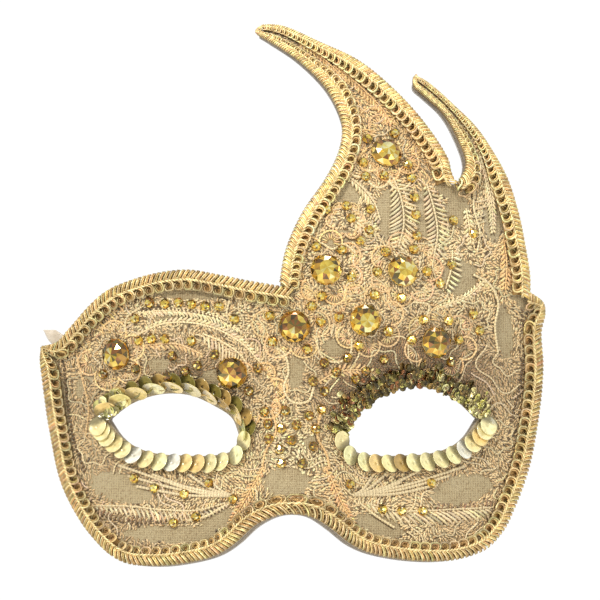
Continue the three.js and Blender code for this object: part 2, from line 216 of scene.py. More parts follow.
class Rail:
    """A line in the plan with arc length. Its side direction is to the right of its way."""

    def __init__(self, points, width=None):
        self.points = np.asarray(points, float)
        gaps = np.linalg.norm(np.diff(self.points, axis=0), axis=1)
        self.lengths = np.concatenate([[0], np.cumsum(gaps)])
        self.length = self.lengths[-1]
        along = unit(np.gradient(self.points, axis=0))
        self.sides = np.stack([along[:, 1], -along[:, 0]], -1)
        self.widths = np.ones(len(self.points)) if width is None else width
        self.turned = 1

    def _mix(self, s, values):
        return np.interp(np.clip(s, 0, self.length), self.lengths, values)

    def on(self, s):
        return np.stack([self._mix(s, self.points[:, 0]), self._mix(s, self.points[:, 1])], -1)

    def side(self, s):
        return unit(np.stack([self._mix(s, self.sides[:, 0]), self._mix(s, self.sides[:, 1])], -1))

    def width(self, s):
        return self._mix(s, self.widths)

    def at(self, s, across=0.0):
        """Plan points at arc length s and a distance across. Past an end the line goes on straight."""
        s = np.asarray(s, float)
        on = self.on(s)
        side = self.side(s)
        ahead = self.turned * to_left(side)
        past = s - np.clip(s, 0, self.length)
        return on + ahead * past[..., None] + side * np.asarray(across, float)[..., None]

    def reversed(self):
        """The same strip walked the other way, with the side direction kept."""
        other = Rail(self.points[::-1], self.widths[::-1])
        other.sides = -other.sides
        other.turned = -self.turned
        return other


def inside(loop, points):
    """Which points lie inside a closed loop."""
    odd = np.zeros(len(points), bool)
    for a, b in zip(loop, np.roll(loop, 1, axis=0)):
        if a[1] == b[1]:
            continue
        crosses = (a[1] > points[:, 1]) != (b[1] > points[:, 1])
        reach = a[0] + (points[:, 1] - a[1]) * (b[0] - a[0]) / (b[1] - a[1])
        odd ^= crosses & (points[:, 0] < reach)
    return odd


def outline_stretches(step=0.5):
    """The braids' outer edges: for each stretch, its points up to the next stretch's first."""
    stretches = {}
    for number, run in enumerate(OUTLINE_RUNS):
        following = OUTLINE_RUNS[(number + 1) % len(OUTLINE_RUNS)]
        controls = [p for line in run.values() for p in line] + [next(iter(following.values()))[0]]
        names = [name for name, line in run.items() for _ in line]
        points, follows = curve_through(controls, step)
        owners = np.array([names[i] for i in follows])
        for name in run:
            chosen = np.flatnonzero(owners == name)
            last = points[chosen[-1] + 1] if chosen[-1] + 1 < len(points) else np.array(controls[-1])
            stretches[name] = np.vstack([points[chosen], last])
    return stretches


STRETCHES = outline_stretches()
OUTLINE = np.vstack([points[:-1] for points in STRETCHES.values()])


def room_beside(points, sides):
    """The radius of the largest circle inside the outline that touches it at each point."""
    loop = OUTLINE[::4]
    to = loop[None] - points[:, None]
    along = np.einsum("ijk,ik->ij", to, sides)
    apart = (to**2).sum(-1)
    radius = np.where((along > 1e-3) & (apart > 4), apart / (2 * np.maximum(along, 1e-3)), 1e3)
    return radius.min(1)


def braid_rail(name):
    rail = Rail(STRETCHES[name])
    room = room_beside(rail.points, rail.sides)
    width = np.clip(TIP_SHARE * room - 0.15, 1.0, BRAID_WIDTH)
    kernel = np.ones(9) / 9
    padded = np.pad(width, 4, mode="edge")
    rail.widths = np.convolve(padded, kernel, mode="valid")
    return rail


def eye_lids(side, rise):
    """The upper lid from the inner end to the outer corner, and the lower lid back."""
    def spot(u, v):
        return (side * (EYE_INNER_X + u * EYE_LENGTH), v * (rise if v > 0 else EYE_DROP))

    upper = [spot(u, v) for u, v in UPPER_LID]
    lower = [upper[-1]] + [spot(u, v) for u, v in LOWER_LID] + [upper[0]]
    return smooth_line(upper, 0.5), smooth_line(lower, 0.5)


LIDS = {"left": eye_lids(-1, LEFT_EYE_RISE), "right": eye_lids(1, RIGHT_EYE_RISE)}
EYES = [np.vstack([upper[:-1], lower[:-1]]) for upper, lower in LIDS.values()]


# ---- Meshes ----
class Soup:
    """Closed bodies gathered into one mesh, with a colour for each point."""

    def __init__(self):
        self.points, self.triangles, self.quads, self.tints = [], [], [], []
        self.count = 0

    def add(self, points, tints, triangles=None, quads=None):
        points = np.asarray(points, float).reshape(-1, 3)
        self.points.append(points)
        self.tints.append(np.broadcast_to(np.asarray(tints, float), (len(points), 3)))
        if triangles is not None and len(triangles):
            self.triangles.append(np.asarray(triangles).reshape(-1, 3) + self.count)
        if quads is not None and len(quads):
            self.quads.append(np.asarray(quads).reshape(-1, 4) + self.count)
        self.count += len(points)

    def add_tubes(self, lines, radius, tints, rise=1.0, sides=6):
        """Adds tubes, with a colour for each point of their lines."""
        points, triangles, quads = tubes(lines, radius, rise, sides)
        self.add(points, np.repeat(np.reshape(tints, (-1, 3)), sides, axis=0), triangles, quads)

    def piece(self, name, material, slot, replaces=(), smooth=True):
        """Makes the piece that rides the mask and stands for the CAD nodes it replaces."""
        points = np.vstack(self.points) * METRES
        triangles = np.vstack(self.triangles) if self.triangles else np.zeros((0, 3), int)
        quads = np.vstack(self.quads) if self.quads else np.zeros((0, 4), int)
        mesh = bpy.data.meshes.new(name)
        mesh.vertices.add(len(points))
        mesh.vertices.foreach_set("co", points.ravel())
        mesh.loops.add(3 * len(triangles) + 4 * len(quads))
        mesh.loops.foreach_set("vertex_index", np.concatenate([triangles.ravel(), quads.ravel()]))
        sizes = np.concatenate([np.full(len(triangles), 3), np.full(len(quads), 4)])
        mesh.polygons.add(len(sizes))
        mesh.polygons.foreach_set("loop_start", np.concatenate([[0], np.cumsum(sizes)[:-1]]))
        mesh.polygons.foreach_set("loop_total", sizes)
        mesh.polygons.foreach_set("use_smooth", np.full(len(sizes), smooth))
        colours = np.ones((len(points), 4))
        colours[:, :3] = np.vstack(self.tints)
        mesh.attributes.new("tint", "FLOAT_COLOR", "POINT").data.foreach_set("color", colours.ravel())
        mesh.update()
        mesh.validate()
        piece = bpy.data.objects.new(name, mesh)
        bpy.context.scene.collection.objects.link(piece)
        mesh.materials.append(material)
        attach(piece, "root")
        if replaces:
            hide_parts(*replaces)
        return piece


def loft_quads(rows, around, wrapped=False):
    """Quads between rows of points, each row a closed ring. Wrapped, the last row meets the first."""
    k, m = np.meshgrid(np.arange(rows if wrapped else rows - 1), np.arange(around), indexing="ij")
    a, b = k * around + m, k * around + (m + 1) % around
    up = ((k + 1) % rows - k) * around
    return np.stack([a, b, b + up, a + up], -1).reshape(-1, 4)


def tubes(lines, radius, rise=1.0, sides=6):
    """Closed tubes along n lines of k points in space. A radius is for each point, and rise is
    the section's height as a share of its width. Returns points and faces."""
    count, steps = lines.shape[:2]
    along = unit(np.gradient(lines, axis=1))
    side = unit(np.cross(along, front_normal(lines[..., [0, 2]])))
    up = np.cross(side, along)
    turn = np.arange(sides) * 2 * np.pi / sides
    radius = np.broadcast_to(radius, (count, steps))[..., None, None]
    ring = np.cos(turn)[:, None] * side[:, :, None] + rise * np.sin(turn)[:, None] * up[:, :, None]
    points = lines[:, :, None] + radius * ring
    start = (np.arange(count) * steps * sides)[:, None, None]
    quads = start + loft_quads(steps, sides)
    fan = np.array([(0, i + 1, i) for i in range(1, sides - 1)])
    triangles = start + np.vstack([fan, fan[:, ::-1] + (steps - 1) * sides])
    return points.reshape(-1, 3), triangles.reshape(-1, 3), quads.reshape(-1, 4)


def varied(colour, count, spread):
    """A colour for each of count bodies, with seeded variation."""
    base = np.asarray(colour, float)[None]
    light = 1 + rng.normal(0, spread, (count, 1))
    hue = 1 + rng.normal(0, spread * 0.35, (count, 3))
    return np.clip(base * light * hue, 0.003, 0.98)


# ---- Materials ----
class Shader:
    """A small node graph round one Principled shader."""

    def __init__(self, name, roughness, metallic=0.0, specular=0.5, coat=0.0, sheen=0.0):
        self.material = bpy.data.materials.new(name)
        self.material.use_nodes = True
        self.nodes = self.material.node_tree.nodes
        self.links = self.material.node_tree.links
        self.shader = self.nodes["Principled BSDF"]
        numbers = {
            "Roughness": roughness, "Metallic": metallic, "Specular IOR Level": specular,
            "Coat Weight": coat, "Sheen Weight": sheen,
        }
        for socket, value in numbers.items():
            self.shader.inputs[socket].default_value = value
        self.place = self.new("ShaderNodeTexCoord").outputs["Object"]

    def new(self, kind, **values):
        node = self.nodes.new(kind)
        for key, value in values.items():
            if hasattr(node, key):
                setattr(node, key, value)
            else:
                node.inputs[key.replace("_", " ")].default_value = value
        return node

    def link(self, output, node, socket):
        self.links.new(output, node.inputs[socket])
        return node

    def tint(self):
        return self.new("ShaderNodeAttribute", attribute_name="tint").outputs["Color"]

    def noise(self, per_metre, detail=2.0):
        node = self.new("ShaderNodeTexNoise", Scale=per_metre, Detail=detail)
        return self.link(self.place, node, "Vector").outputs["Fac"]

    def feed(self, node, sockets, values):
        """Sets or links some of a node's sockets."""
        for socket, value in zip(sockets, values):
            if isinstance(value, bpy.types.NodeSocket):
                self.links.new(value, node.inputs[socket])
            else:
                node.inputs[socket].default_value = (*value, 1) if isinstance(value, tuple) else value
        return node

    def combine(self, operation, *values):
        return self.feed(self.new("ShaderNodeMath", operation=operation), range(3), values).outputs[0]

    def waves(self, pitch_mm, axis):
        """A sine along one axis of the frame, from 0 to 1."""
        along = self.link(self.place, self.new("ShaderNodeSeparateXYZ"), 0).outputs[axis]
        turns = self.combine("MULTIPLY", along, 2 * math.pi / (pitch_mm * METRES))
        return self.combine("MULTIPLY_ADD", self.combine("SINE", turns), 0.5, 0.5)

    def ramp(self, factor, *stops):
        node = self.new("ShaderNodeValToRGB")
        elements = node.color_ramp.elements
        while len(elements) < len(stops):
            elements.new(0.5)
        for element, (position, colour) in zip(elements, stops):
            element.position = position
            element.color = (*colour, 1)
        return self.link(factor, node, "Fac").outputs["Color"]

    def mix(self, kind, factor, first, second):
        node = self.new("ShaderNodeMix", data_type="RGBA", blend_type=kind)
        return self.feed(node, (0, 6, 7), (factor, first, second)).outputs[2]

    def bump(self, height, distance_mm):
        node = self.new("ShaderNodeBump", Distance=distance_mm * METRES)
        self.link(height, node, "Height")
        self.link(node.outputs["Normal"], self.shader, "Normal")

    def colour(self, output):
        self.link(output, self.shader, "Base Color")

    def tinted(self, shade, share=1.0):
        """The points' own colours, darkened and lightened by a shade."""
        self.colour(self.mix("MULTIPLY", share, self.tint(), shade))

    def rough(self, factor, low, high):
        node = self.new("ShaderNodeMapRange")
        node.inputs["To Min"].default_value = low
        node.inputs["To Max"].default_value = high
        self.link(factor, node, "Value")
        self.link(node.outputs["Result"], self.shader, "Roughness")


def lining_felt():
    s = Shader("lining_felt", 0.95, sheen=0.25)
    fibres = s.noise(2600, 6)
    blotches = s.combine("MULTIPLY", fibres, s.noise(90, 3))
    s.colour(s.ramp(blotches, (0.1, (0.42, 0.38, 0.33)), (0.45, (0.66, 0.61, 0.54))))
    s.bump(fibres, 0.25)
    return s.material


def shell_board():
    s = Shader("shell_board", 0.6)
    grain = s.noise(900, 5)
    s.colour(s.ramp(grain, (0.3, (0.20, 0.16, 0.11)), (0.7, (0.34, 0.28, 0.20))))
    s.bump(grain, 0.1)
    return s.material


def cover_satin():
    s = Shader("cover_satin", 0.55, sheen=0.2)
    threads = s.combine("ADD", s.waves(0.35, 0), s.waves(0.35, 2))
    s.colour(s.ramp(s.noise(300, 3), (0.3, (0.44, 0.36, 0.24)), (0.7, (0.56, 0.48, 0.35))))
    s.bump(threads, 0.03)
    return s.material


def lace_net():
    """The net ground: a fine square mesh over a darker cloth."""
    s = Shader("lace_net", 0.62, sheen=0.3)
    across = s.combine("POWER", s.waves(0.8, 0), 3.0)
    up = s.combine("POWER", s.waves(0.8, 2), 3.0)
    net = s.combine("MAXIMUM", across, up)
    pale, mid, deep = (0.47, 0.385, 0.225), (0.38, 0.29, 0.145), (0.31, 0.22, 0.10)
    cloth = s.ramp(s.noise(70, 3), (0.3, deep), (0.5, mid), (0.7, pale))
    threads = s.mix("MIX", net, cloth, (0.50, 0.39, 0.20))
    specks = s.ramp(s.noise(1500, 4), (0.32, (0.55, 0.45, 0.33)), (0.5, (1, 1, 1)))
    s.colour(s.mix("MULTIPLY", 0.8, threads, specks))
    s.bump(s.combine("ADD", net, s.noise(1200, 4)), 0.12)
    return s.material


def metal_thread():
    """Braid cord: gold foil wound round a thread, dull in the grooves between turns."""
    s = Shader("metal_thread", 0.38, metallic=0.55, specular=0.6)
    winding = s.noise(2800, 2)
    shade = s.ramp(s.noise(650, 3), (0.3, (0.62, 0.55, 0.45)), (0.62, (1.15, 1.12, 1.05)))
    s.tinted(shade)
    s.rough(winding, 0.25, 0.6)
    s.bump(winding, 0.1)
    return s.material


def silk_thread():
    """Embroidery thread with a soft gloss."""
    s = Shader("silk_thread", 0.42, metallic=0.15, specular=0.6, sheen=0.3)
    strands = s.noise(3000, 3)
    shade = s.ramp(strands, (0.3, (0.72, 0.66, 0.58)), (0.65, (1.1, 1.08, 1.02)))
    s.tinted(shade)
    s.bump(strands, 0.08)
    return s.material


def sequin_foil():
    s = Shader("sequin_foil", 0.3, metallic=0.12, coat=0.6)
    wear = s.noise(450, 3)
    shade = s.ramp(wear, (0.3, (0.80, 0.76, 0.66)), (0.6, (1.08, 1.06, 1.0)))
    s.tinted(shade)
    s.rough(wear, 0.16, 0.34)
    s.bump(wear, 0.05)
    return s.material


def glitter_foil():
    s = Shader("glitter_foil", 0.2, metallic=0.8, coat=0.5)
    spots = s.noise(2200, 2)
    s.tinted(s.ramp(spots, (0.35, (0.5, 0.45, 0.3)), (0.6, (1.2, 1.15, 1.0))))
    s.rough(spots, 0.1, 0.4)
    s.bump(spots, 0.08)
    return s.material


def foiled_glass():
    """Stone: coloured glass over a foil back, its gold hue real and each facet's own colour a painted
    reflection.
    """
    s = Shader("foiled_glass", 0.07, metallic=0.75, coat=1.0)
    flaws = s.noise(420, 2)
    s.tinted(s.ramp(flaws, (0.3, (0.6, 0.55, 0.4)), (0.65, (1.15, 1.12, 1.0))), 0.6)
    s.rough(flaws, 0.04, 0.12)
    return s.material


def satin_ribbon():
    s = Shader("satin_ribbon", 0.35, sheen=0.5)
    threads = s.waves(0.3, 0)
    s.colour(s.ramp(s.noise(220, 3), (0.3, (0.62, 0.50, 0.35)), (0.7, (0.80, 0.70, 0.55))))
    s.bump(threads, 0.04)
    return s.material


def studio_white():
    s = Shader("studio_white", 0.9)
    s.colour(s.ramp(s.noise(3, 2), (0.3, (0.86, 0.86, 0.86)), (0.7, (0.90, 0.90, 0.90))))
    return s.material


FELT = lining_felt()
BOARD = shell_board()
SATIN = cover_satin()
NET = lace_net()
METAL = metal_thread()
SILK = silk_thread()
SEQUIN = sequin_foil()
GLITTER = glitter_foil()
GLASS = foiled_glass()
RIBBON = satin_ribbon()


# ---- Sheets: lining, shell, cover cloth and lace ----
SHEET_STEP = 1.7


def rim_loop():
    """The sheets' outer edge, which the braid overhangs."""
    after = unit(np.roll(OUTLINE, -1, axis=0) - OUTLINE)
    before = unit(OUTLINE - np.roll(OUTLINE, 1, axis=0))
    inward = np.stack([after[:, 1] + before[:, 1], -after[:, 0] - before[:, 0]], -1)
    inward = unit(inward)
    square = np.stack([before[:, 1], -before[:, 0]], -1)
    mitre = inward / np.maximum(0.75, (inward * square).sum(1))[:, None]
    rim = OUTLINE + mitre * BRAID_OVERHANG
    apart = np.linalg.norm(rim[:, None] - OUTLINE[None], axis=2).min(1)
    return rim[apart > 0.93 * BRAID_OVERHANG][::3]


def covered_region():
    """Plan points and triangles of everything that the sheets cover."""
    rim = rim_loop()
    loops = [rim] + [eye[::2] for eye in EYES]
    lo, hi = rim.min(0), rim.max(0)
    xs = np.arange(lo[0], hi[0], SHEET_STEP)
    zs = np.arange(lo[1], hi[1], SHEET_STEP * math.sqrt(3) / 2)
    grid = np.array([(x + (row % 2) * SHEET_STEP / 2, z) for row, z in enumerate(zs) for x in xs])
    edge = np.vstack(loops)
    grid = grid[inside(rim, grid) & ~inside(loops[1], grid) & ~inside(loops[2], grid)]
    near = np.array([np.min(np.linalg.norm(edge - p, axis=1)) for p in grid])
    points = np.vstack([edge, grid[near > 0.6 * SHEET_STEP]])
    sides, first = [], 0
    for loop in loops:
        sides += [(first + i, first + (i + 1) % len(loop)) for i in range(len(loop))]
        first += len(loop)
    made = delaunay_2d_cdt([tuple(p) for p in points], sides, [], 0, 1e-5)
    flat = np.array([tuple(p) for p in made[0]])
    triangles = np.array([t for t in made[2] if len(t) == 3])
    middles = flat[triangles].mean(1)
    kept = inside(rim, middles) & ~inside(loops[1], middles) & ~inside(loops[2], middles)
    return flat, triangles[kept]


def rim_sides(triangles):
    """The directed sides that belong to one triangle only."""
    sides = np.vstack([triangles[:, [0, 1]], triangles[:, [1, 2]], triangles[:, [2, 0]]])
    known = {tuple(side) for side in sides}
    return np.array([side for side in sides if (side[1], side[0]) not in known])


def make_sheets():
    plan, triangles = covered_region()
    used, inverse = np.unique(triangles, return_inverse=True)
    plan, triangles = plan[used], inverse.reshape(-1, 3)
    rim = rim_sides(triangles)
    count = len(plan)
    sheets = {
        "lining": (LINING, FELT, "lining", "lining_felt"),
        "shell": (SHELL, BOARD, "shell", "shell_board"),
        "cover_cloth": (CLOTH, SATIN, "cloth", "cover_cloth_satin"),
        "lace_overlay": (LACE, NET, "lace", "lace_ground"),
    }
    for node, ((back, front), material, slot, name) in sheets.items():
        points = np.vstack([place(plan, back + np.zeros(count)), place(plan, front + np.zeros(count))])
        faces = np.vstack([triangles[:, ::-1], triangles + count])
        walls = np.stack([rim[:, 0], rim[:, 1], rim[:, 1] + count, rim[:, 0] + count], -1)
        soup = Soup()
        soup.add(points, (1, 1, 1), faces, walls)
        piece = soup.piece(name, material, slot, [node])


# ---- Braids ----
CORD_RADIUS = 0.34
STRAND_STEPS = 22  # points along each strand
# For each braid: pitch of its scrolls, whether it is walked backwards, brightness, and how far it
# goes on past its end. A brightness below 1 is painted shade: the one braid is drawn darker on the
# brow, sides and bottom than on the horns.
BRAIDS = {
    "left_brow": (3.5, False, 0.79, 5.5),
    "tall_horn_inner": (2.7, False, 1, 1.2),
    "tall_horn_outer": (2.8, False, 1, 0.3),
    "short_horn_inner": (2.6, False, 1, 1.0),
    "short_horn_outer": (3.0, False, 1, 2.4),
    "right_side": (3.2, True, 0.77, 0),
    "bottom": (3.5, True, 0.74, 0),
    "left_side": (3.2, True, 0.74, 0),
}
# One scroll of the braid: how far along in pitches, how far across in widths, height in mm.
SCROLL = [
    (-1.7, 0.12, 0.5), (-1.0, 0.2, 0.9), (-0.5, 0.34, 1.25), (0.0, 0.5, 1.6), (0.34, 0.60, 1.75),
    (0.46, 0.75, 1.6), (0.38, 0.89, 1.4), (0.12, 0.96, 1.25), (-0.18, 0.92, 1.1), (-0.32, 0.78, 1.0),
    (-0.2, 0.65, 0.8), (0.05, 0.62, 0.6),
]
# One strand of the outer row, which crosses over the scrolls' stems.
OUTER_STRAND = [
    (-0.55, 0.56, 1.1), (-0.3, 0.48, 1.7), (0.1, 0.34, 2.0), (0.5, 0.18, 1.85), (0.75, 0.07, 1.3),
    (0.8, 0.02, 0.6),
]
GOLD_LIGHT = (0.97, 0.79, 0.42)
GOLD = (0.82, 0.57, 0.24)
# GOLD_DARK colours the braid's tape, where it stands for painted shade under the cords.
GOLD_DARK = (0.42, 0.26, 0.09)


def scroll_lines(rail, pitch, path, beyond):
    """The centre lines of a row of strands on a rail: along, share of the width across, height."""
    shape = smooth_line(path, 0.12)
    share = np.linspace(0, len(shape) - 1, STRAND_STEPS)
    shape = np.stack([np.interp(share, np.arange(len(shape)), shape[:, i]) for i in range(3)], -1)
    starts = [pitch * 0.4]
    while starts[-1] < rail.length + beyond - 0.4 * pitch:
        starts.append(starts[-1] + pitch * (rail.width(starts[-1]) / BRAID_WIDTH) ** 0.7)
    starts = np.array(starts[:-1])
    local = pitch * (rail.width(starts) / BRAID_WIDTH) ** 0.7
    along = starts[:, None] + shape[None, :, 0] * local[:, None]
    along = np.clip(along, 0, rail.length + beyond)
    share, height = (np.broadcast_to(shape[None, :, i], along.shape) for i in (1, 2))
    return along, share, height


def offset_across(along, across, distance):
    """Moves lines sideways within the plan of a braid: along and across are both in mm."""
    da, dc = np.gradient(along, axis=1), np.gradient(across, axis=1)
    size = np.maximum(np.hypot(da, dc), 1e-6)
    return along + distance * dc / size, across - distance * da / size


def add_strands(soup, rail, pitch, path, plies, beyond):
    """A row of strands along a braid. Each ply is its sideways place, size, colour and lift."""
    along, share, height = scroll_lines(rail, pitch, path, beyond)
    scale = rail.width(along) / BRAID_WIDTH
    thin = 0.35 + 0.65 * scale
    last = along.shape[1] - 1
    taper = np.interp(np.arange(last + 1), [0, 2, last - 2, last], [0.45, 1, 1, 0.5])
    for distance, radius, colour, lift in plies:
        s, across = offset_across(along, share * BRAID_WIDTH, distance)
        across = np.clip(across, 0.15, BRAID_WIDTH - 0.25) * scale
        lines = place(rail.at(s, across), TRIM_BACK + (height + lift) * thin)
        # Painted shade: each strand is drawn darker where it lies low among the others and lighter at its
        # top.
        glow = np.clip(height / 1.75, 0.25, 1)
        shade = varied(colour, len(lines), 0.14)[:, None] * (0.34 + 0.74 * glow[..., None] ** 1.5)
        soup.add_tubes(lines, CORD_RADIUS * radius * thin * taper, shade)


def make_braid(name, pitch, backwards, light, beyond):
    rail = braid_rail(name)
    if backwards:
        rail = rail.reversed()
    soup = Soup()
    # a light below 1 darkens this braid as painted shade
    pale, gold = light * np.array(GOLD_LIGHT), light * np.array(GOLD)
    scroll_plies = [(0.36, 1.0, pale, 0.1), (-0.3, 0.9, gold, -0.1)]
    add_strands(soup, rail, pitch, SCROLL, scroll_plies, beyond)
    outer_plies = [(0.26, 0.9, pale, 0.05), (-0.26, 0.9, gold, 0.0)]
    add_strands(soup, rail, 0.46 * pitch, OUTER_STRAND, outer_plies, beyond)
    add_ridge(soup, rail, beyond)
    add_tape(soup, rail, beyond)
    soup.piece(name + "_gimp", METAL, "braid", [name + "_braid"])


def add_ridge(soup, rail, beyond):
    """The bright two-ply line down the middle of a braid, with a painted highlight on top of each twist.
    """
    s = np.arange(0.2, rail.length + beyond - 0.2, 0.35)
    scale = rail.width(s) / BRAID_WIDTH
    for ply in (0, math.pi):
        swing = s * 2 * math.pi / 2.4 + ply
        across = (0.52 * BRAID_WIDTH + 0.25 * np.sin(swing)) * scale
        height = TRIM_BACK + (1.95 + 0.2 * np.cos(swing)) * (0.35 + 0.65 * scale)
        line = place(rail.at(s, across), height)[None]
        # Painted highlight: each ply is drawn lighter where its twist rises to the top.
        glow = 0.75 + 0.35 * np.cos(swing)
        soup.add_tubes(line, 0.27 * (0.35 + 0.65 * scale)[None], np.array(GOLD_LIGHT) * glow[:, None])


def add_tape(soup, rail, beyond):
    """The woven tape under the scrolls. Its dark gold colour is painted shade under the cords."""
    s = np.arange(0.8, rail.length + beyond - 0.8, 0.9)
    section = [(0.1, 0.0), (0.86, 0.0), (0.86, 0.35), (0.7, 0.75), (0.3, 0.75), (0.1, 0.35)]
    scale = rail.width(s)
    rows = [place(rail.at(s, share * scale), TRIM_BACK - 0.35 + rise + 0 * s) for share, rise in section]
    size = len(section)
    fan = np.array([(0, i, i + 1) for i in range(1, size - 1)])
    triangles = np.vstack([fan, fan[:, ::-1] + (len(s) - 1) * size])
    soup.add(np.stack(rows, 1), GOLD_DARK, triangles, loft_quads(len(s), size)[:, [0, 3, 2, 1]])


def make_braids():
    for name, values in BRAIDS.items():
        make_braid(name, *values)


# ---- Sequins ----
FOIL_THICKNESS = 0.12
CORNER_DISCS = 36
FLAKES = 640
STRAY_FLAKES = 50  # of the flakes, those that lie loose beyond the line


def disc(diameter, hole, cup, sides):
    """A cupped sequin with a hole, round the third axis."""
    r = diameter / 2
    slope = [(0.35, 0.03), (0.65, 0.3), (0.88, 0.8), (1, 1)]
    upper = [(hole / 2, 0.0)] + [(share * r, rise * cup) for share, rise in slope]
    rings = upper + [(radius, height - FOIL_THICKNESS) for radius, height in upper[::-1]]
    turn = np.arange(sides) * 2 * np.pi / sides
    points = np.array([[(q * math.cos(a), q * math.sin(a), h) for a in turn] for q, h in rings])
    return points.reshape(-1, 3), loft_quads(len(rings), sides, wrapped=True)


def frame_at(plan, toward):
    """A right-handed frame on the surface: along a plan direction, across it, and the normal."""
    normal = front_normal(plan)
    slope = place(plan + toward * 0.05, np.array(0.0)) - place(plan - toward * 0.05, np.array(0.0))
    first = unit(slope)
    return np.stack([first, np.cross(normal, first), normal])


def tilted(basis, toward_first, toward_second):
    """The frame turned so that its first and second edges rise by angles in radians."""
    axes = list(basis)
    for i, angle in enumerate((toward_first, toward_second)):
        edge, normal = axes[i], axes[2]
        axes[i] = edge * math.cos(angle) + normal * math.sin(angle)
        axes[2] = normal * math.cos(angle) - edge * math.sin(angle)
    return np.stack(axes)


# Colours of sequins and flakes.
PALE = (1.0, 0.90, 0.50)
WHITE = (1.0, 0.98, 0.88)
YELLOW = (1.0, 0.86, 0.44)
ORANGE = (1.0, 0.74, 0.32)
BRONZE = (0.56, 0.38, 0.13)
OLIVE = (0.28, 0.24, 0.06)
LIME = (0.72, 0.70, 0.22)
FOIL = (0.92, 0.70, 0.28)
TAR = (0.13, 0.10, 0.03)


def lid_rail(eye, upper):
    """A lid walked from the nose outward, with its side direction away from the opening."""
    side, lids = (-1, LIDS["left"]) if eye == "left" else (1, LIDS["right"])
    line = lids[0] if upper else lids[1][::-1]
    rail = Rail(line)
    middle = np.vstack(lids).mean(0)
    if ((rail.points - middle) * rail.sides).sum() < 0:
        rail.sides = -rail.sides
    return rail


def lid_point(rail, s, across):
    """A point off a lid, with the across distance measured away from the opening."""
    side = rail.side(s)
    return rail.on(s) + side * across, side


def add_sequin(
    soup, rail, s, across, diameter, colour, lean=0.2, tip=0.0, skew=0.0, cup=0.5, height=0.75, hole=0.12
):
    """One sequin on a lid. Its edge nearer the nose stands up over the one before it. The tip
    raises the edge away from the opening, and the skew turns the lean that way."""
    at, out = lid_point(rail, s, across)
    ahead, _ = lid_point(rail, min(s + 0.5, rail.length), across)
    back, _ = lid_point(rail, max(s - 0.5, 0), across)
    toward_nose = unit(back - ahead) * math.cos(skew) + out * math.sin(skew)
    points, quads = disc(diameter, hole * diameter, cup, 20 if diameter > 4 else 8)
    basis = frame_at(at, toward_nose)
    outward = np.sign(basis[1][0] * out[0] + basis[1][2] * out[1])
    basis = tilted(basis, lean + rng.normal(0, 0.03), outward * tip + rng.normal(0, 0.06))
    centre = place(at, np.array(TRIM_BACK + height))
    glow = 1 + 0.08 * rng.normal()
    # Painted shadow: the side away from the nose, where the next sequin lies over this one, is drawn
    # darker.
    bare = 0.32 + 0.72 * smooth_step(-0.22, -0.02, points[:, 0] / diameter)
    soup.add(centre + points @ basis, np.clip(np.array(colour) * glow * bare[:, None], 0, 1), quads=quads)


def sequin_row(name, eye, upper, colours, node):
    """A row of equal sequins from the nose outward."""
    rail = lid_rail(eye, upper)
    soup = Soup()
    spacing = np.interp(np.arange(len(colours) - 1), [0, 2, 7, 12], [1.3, 1.25, 1.25, 0.8])
    places = np.concatenate([[0], np.cumsum(spacing)])
    for s, colour in zip(0.9 + (rail.length - 1.6) * places / places[-1], colours):
        across = SEQUIN_DIAMETER / 2 - SEQUIN_OVERHANG + 0.7
        add_sequin(
            soup, rail, s, across, 1.12 * SEQUIN_DIAMETER, colour,
            lean=0.26, skew=0.3, cup=0.45, height=1.2, hole=0.03,
        )
    soup.piece(name, SEQUIN, "sequins", [node], smooth=True)


def make_sequins():
    sequin_row(
        "left_lower_sequin_row", "left", False,
        [YELLOW, PALE, PALE, PALE, ORANGE, ORANGE, WHITE, PALE]
        + [YELLOW, WHITE, PALE, YELLOW, PALE, PALE, YELLOW],
        "left_lower_sequins",
    )
    sequin_row(
        "right_lower_sequin_row", "right", False,
        [YELLOW, PALE, PALE, ORANGE, YELLOW, BRONZE, PALE, PALE]
        + [PALE, PALE, WHITE, PALE, ORANGE, PALE, PALE],
        "right_lower_sequins",
    )
    left_upper_sequins()
    right_upper_glitter()


def left_upper_sequins():
    """Large flat sequins lying over darker ones, with a cluster of discs at the outer corner."""
    rail = lid_rail("left", True)
    soup = Soup()
    darker = [OLIVE, BRONZE] * 3 + [OLIVE] + [OLIVE, BRONZE, OLIVE] * 2 + [LIME]
    for i, colour in enumerate(darker):
        s = 1.5 + (rail.length - 3) * i / (len(darker) - 1)
        add_sequin(soup, rail, s, 4.2, 6.4, colour, lean=0.25, cup=0.35, height=0.55)
    large = [LIME, FOIL, BRONZE, FOIL, YELLOW, FOIL, YELLOW, FOIL, FOIL, ORANGE]
    for i, colour in enumerate(large):
        s = 1.5 + (rail.length - 4.5) * i / (len(large) - 1)
        add_sequin(soup, rail, s, 2.9, 7.8, colour, lean=0.12, tip=0.75, cup=0.35, height=1.7, hole=0.05)
    for _ in range(CORNER_DISCS):
        s = rail.length * (0.82 + 0.2 * rng.random())
        across = 0.6 + 5.6 * rng.random()
        size = 2.6 + rng.random()
        colour = (LIME, PALE, YELLOW, OLIVE)[rng.integers(4)]
        lean, height = rng.normal(0, 0.3), 0.9 + 0.5 * rng.random()
        add_sequin(soup, rail, s, across, size, colour, lean=lean, cup=0.3, height=height)
    soup.piece("left_upper_sequin_row", SEQUIN, "sequins", ["left_upper_sequins"])


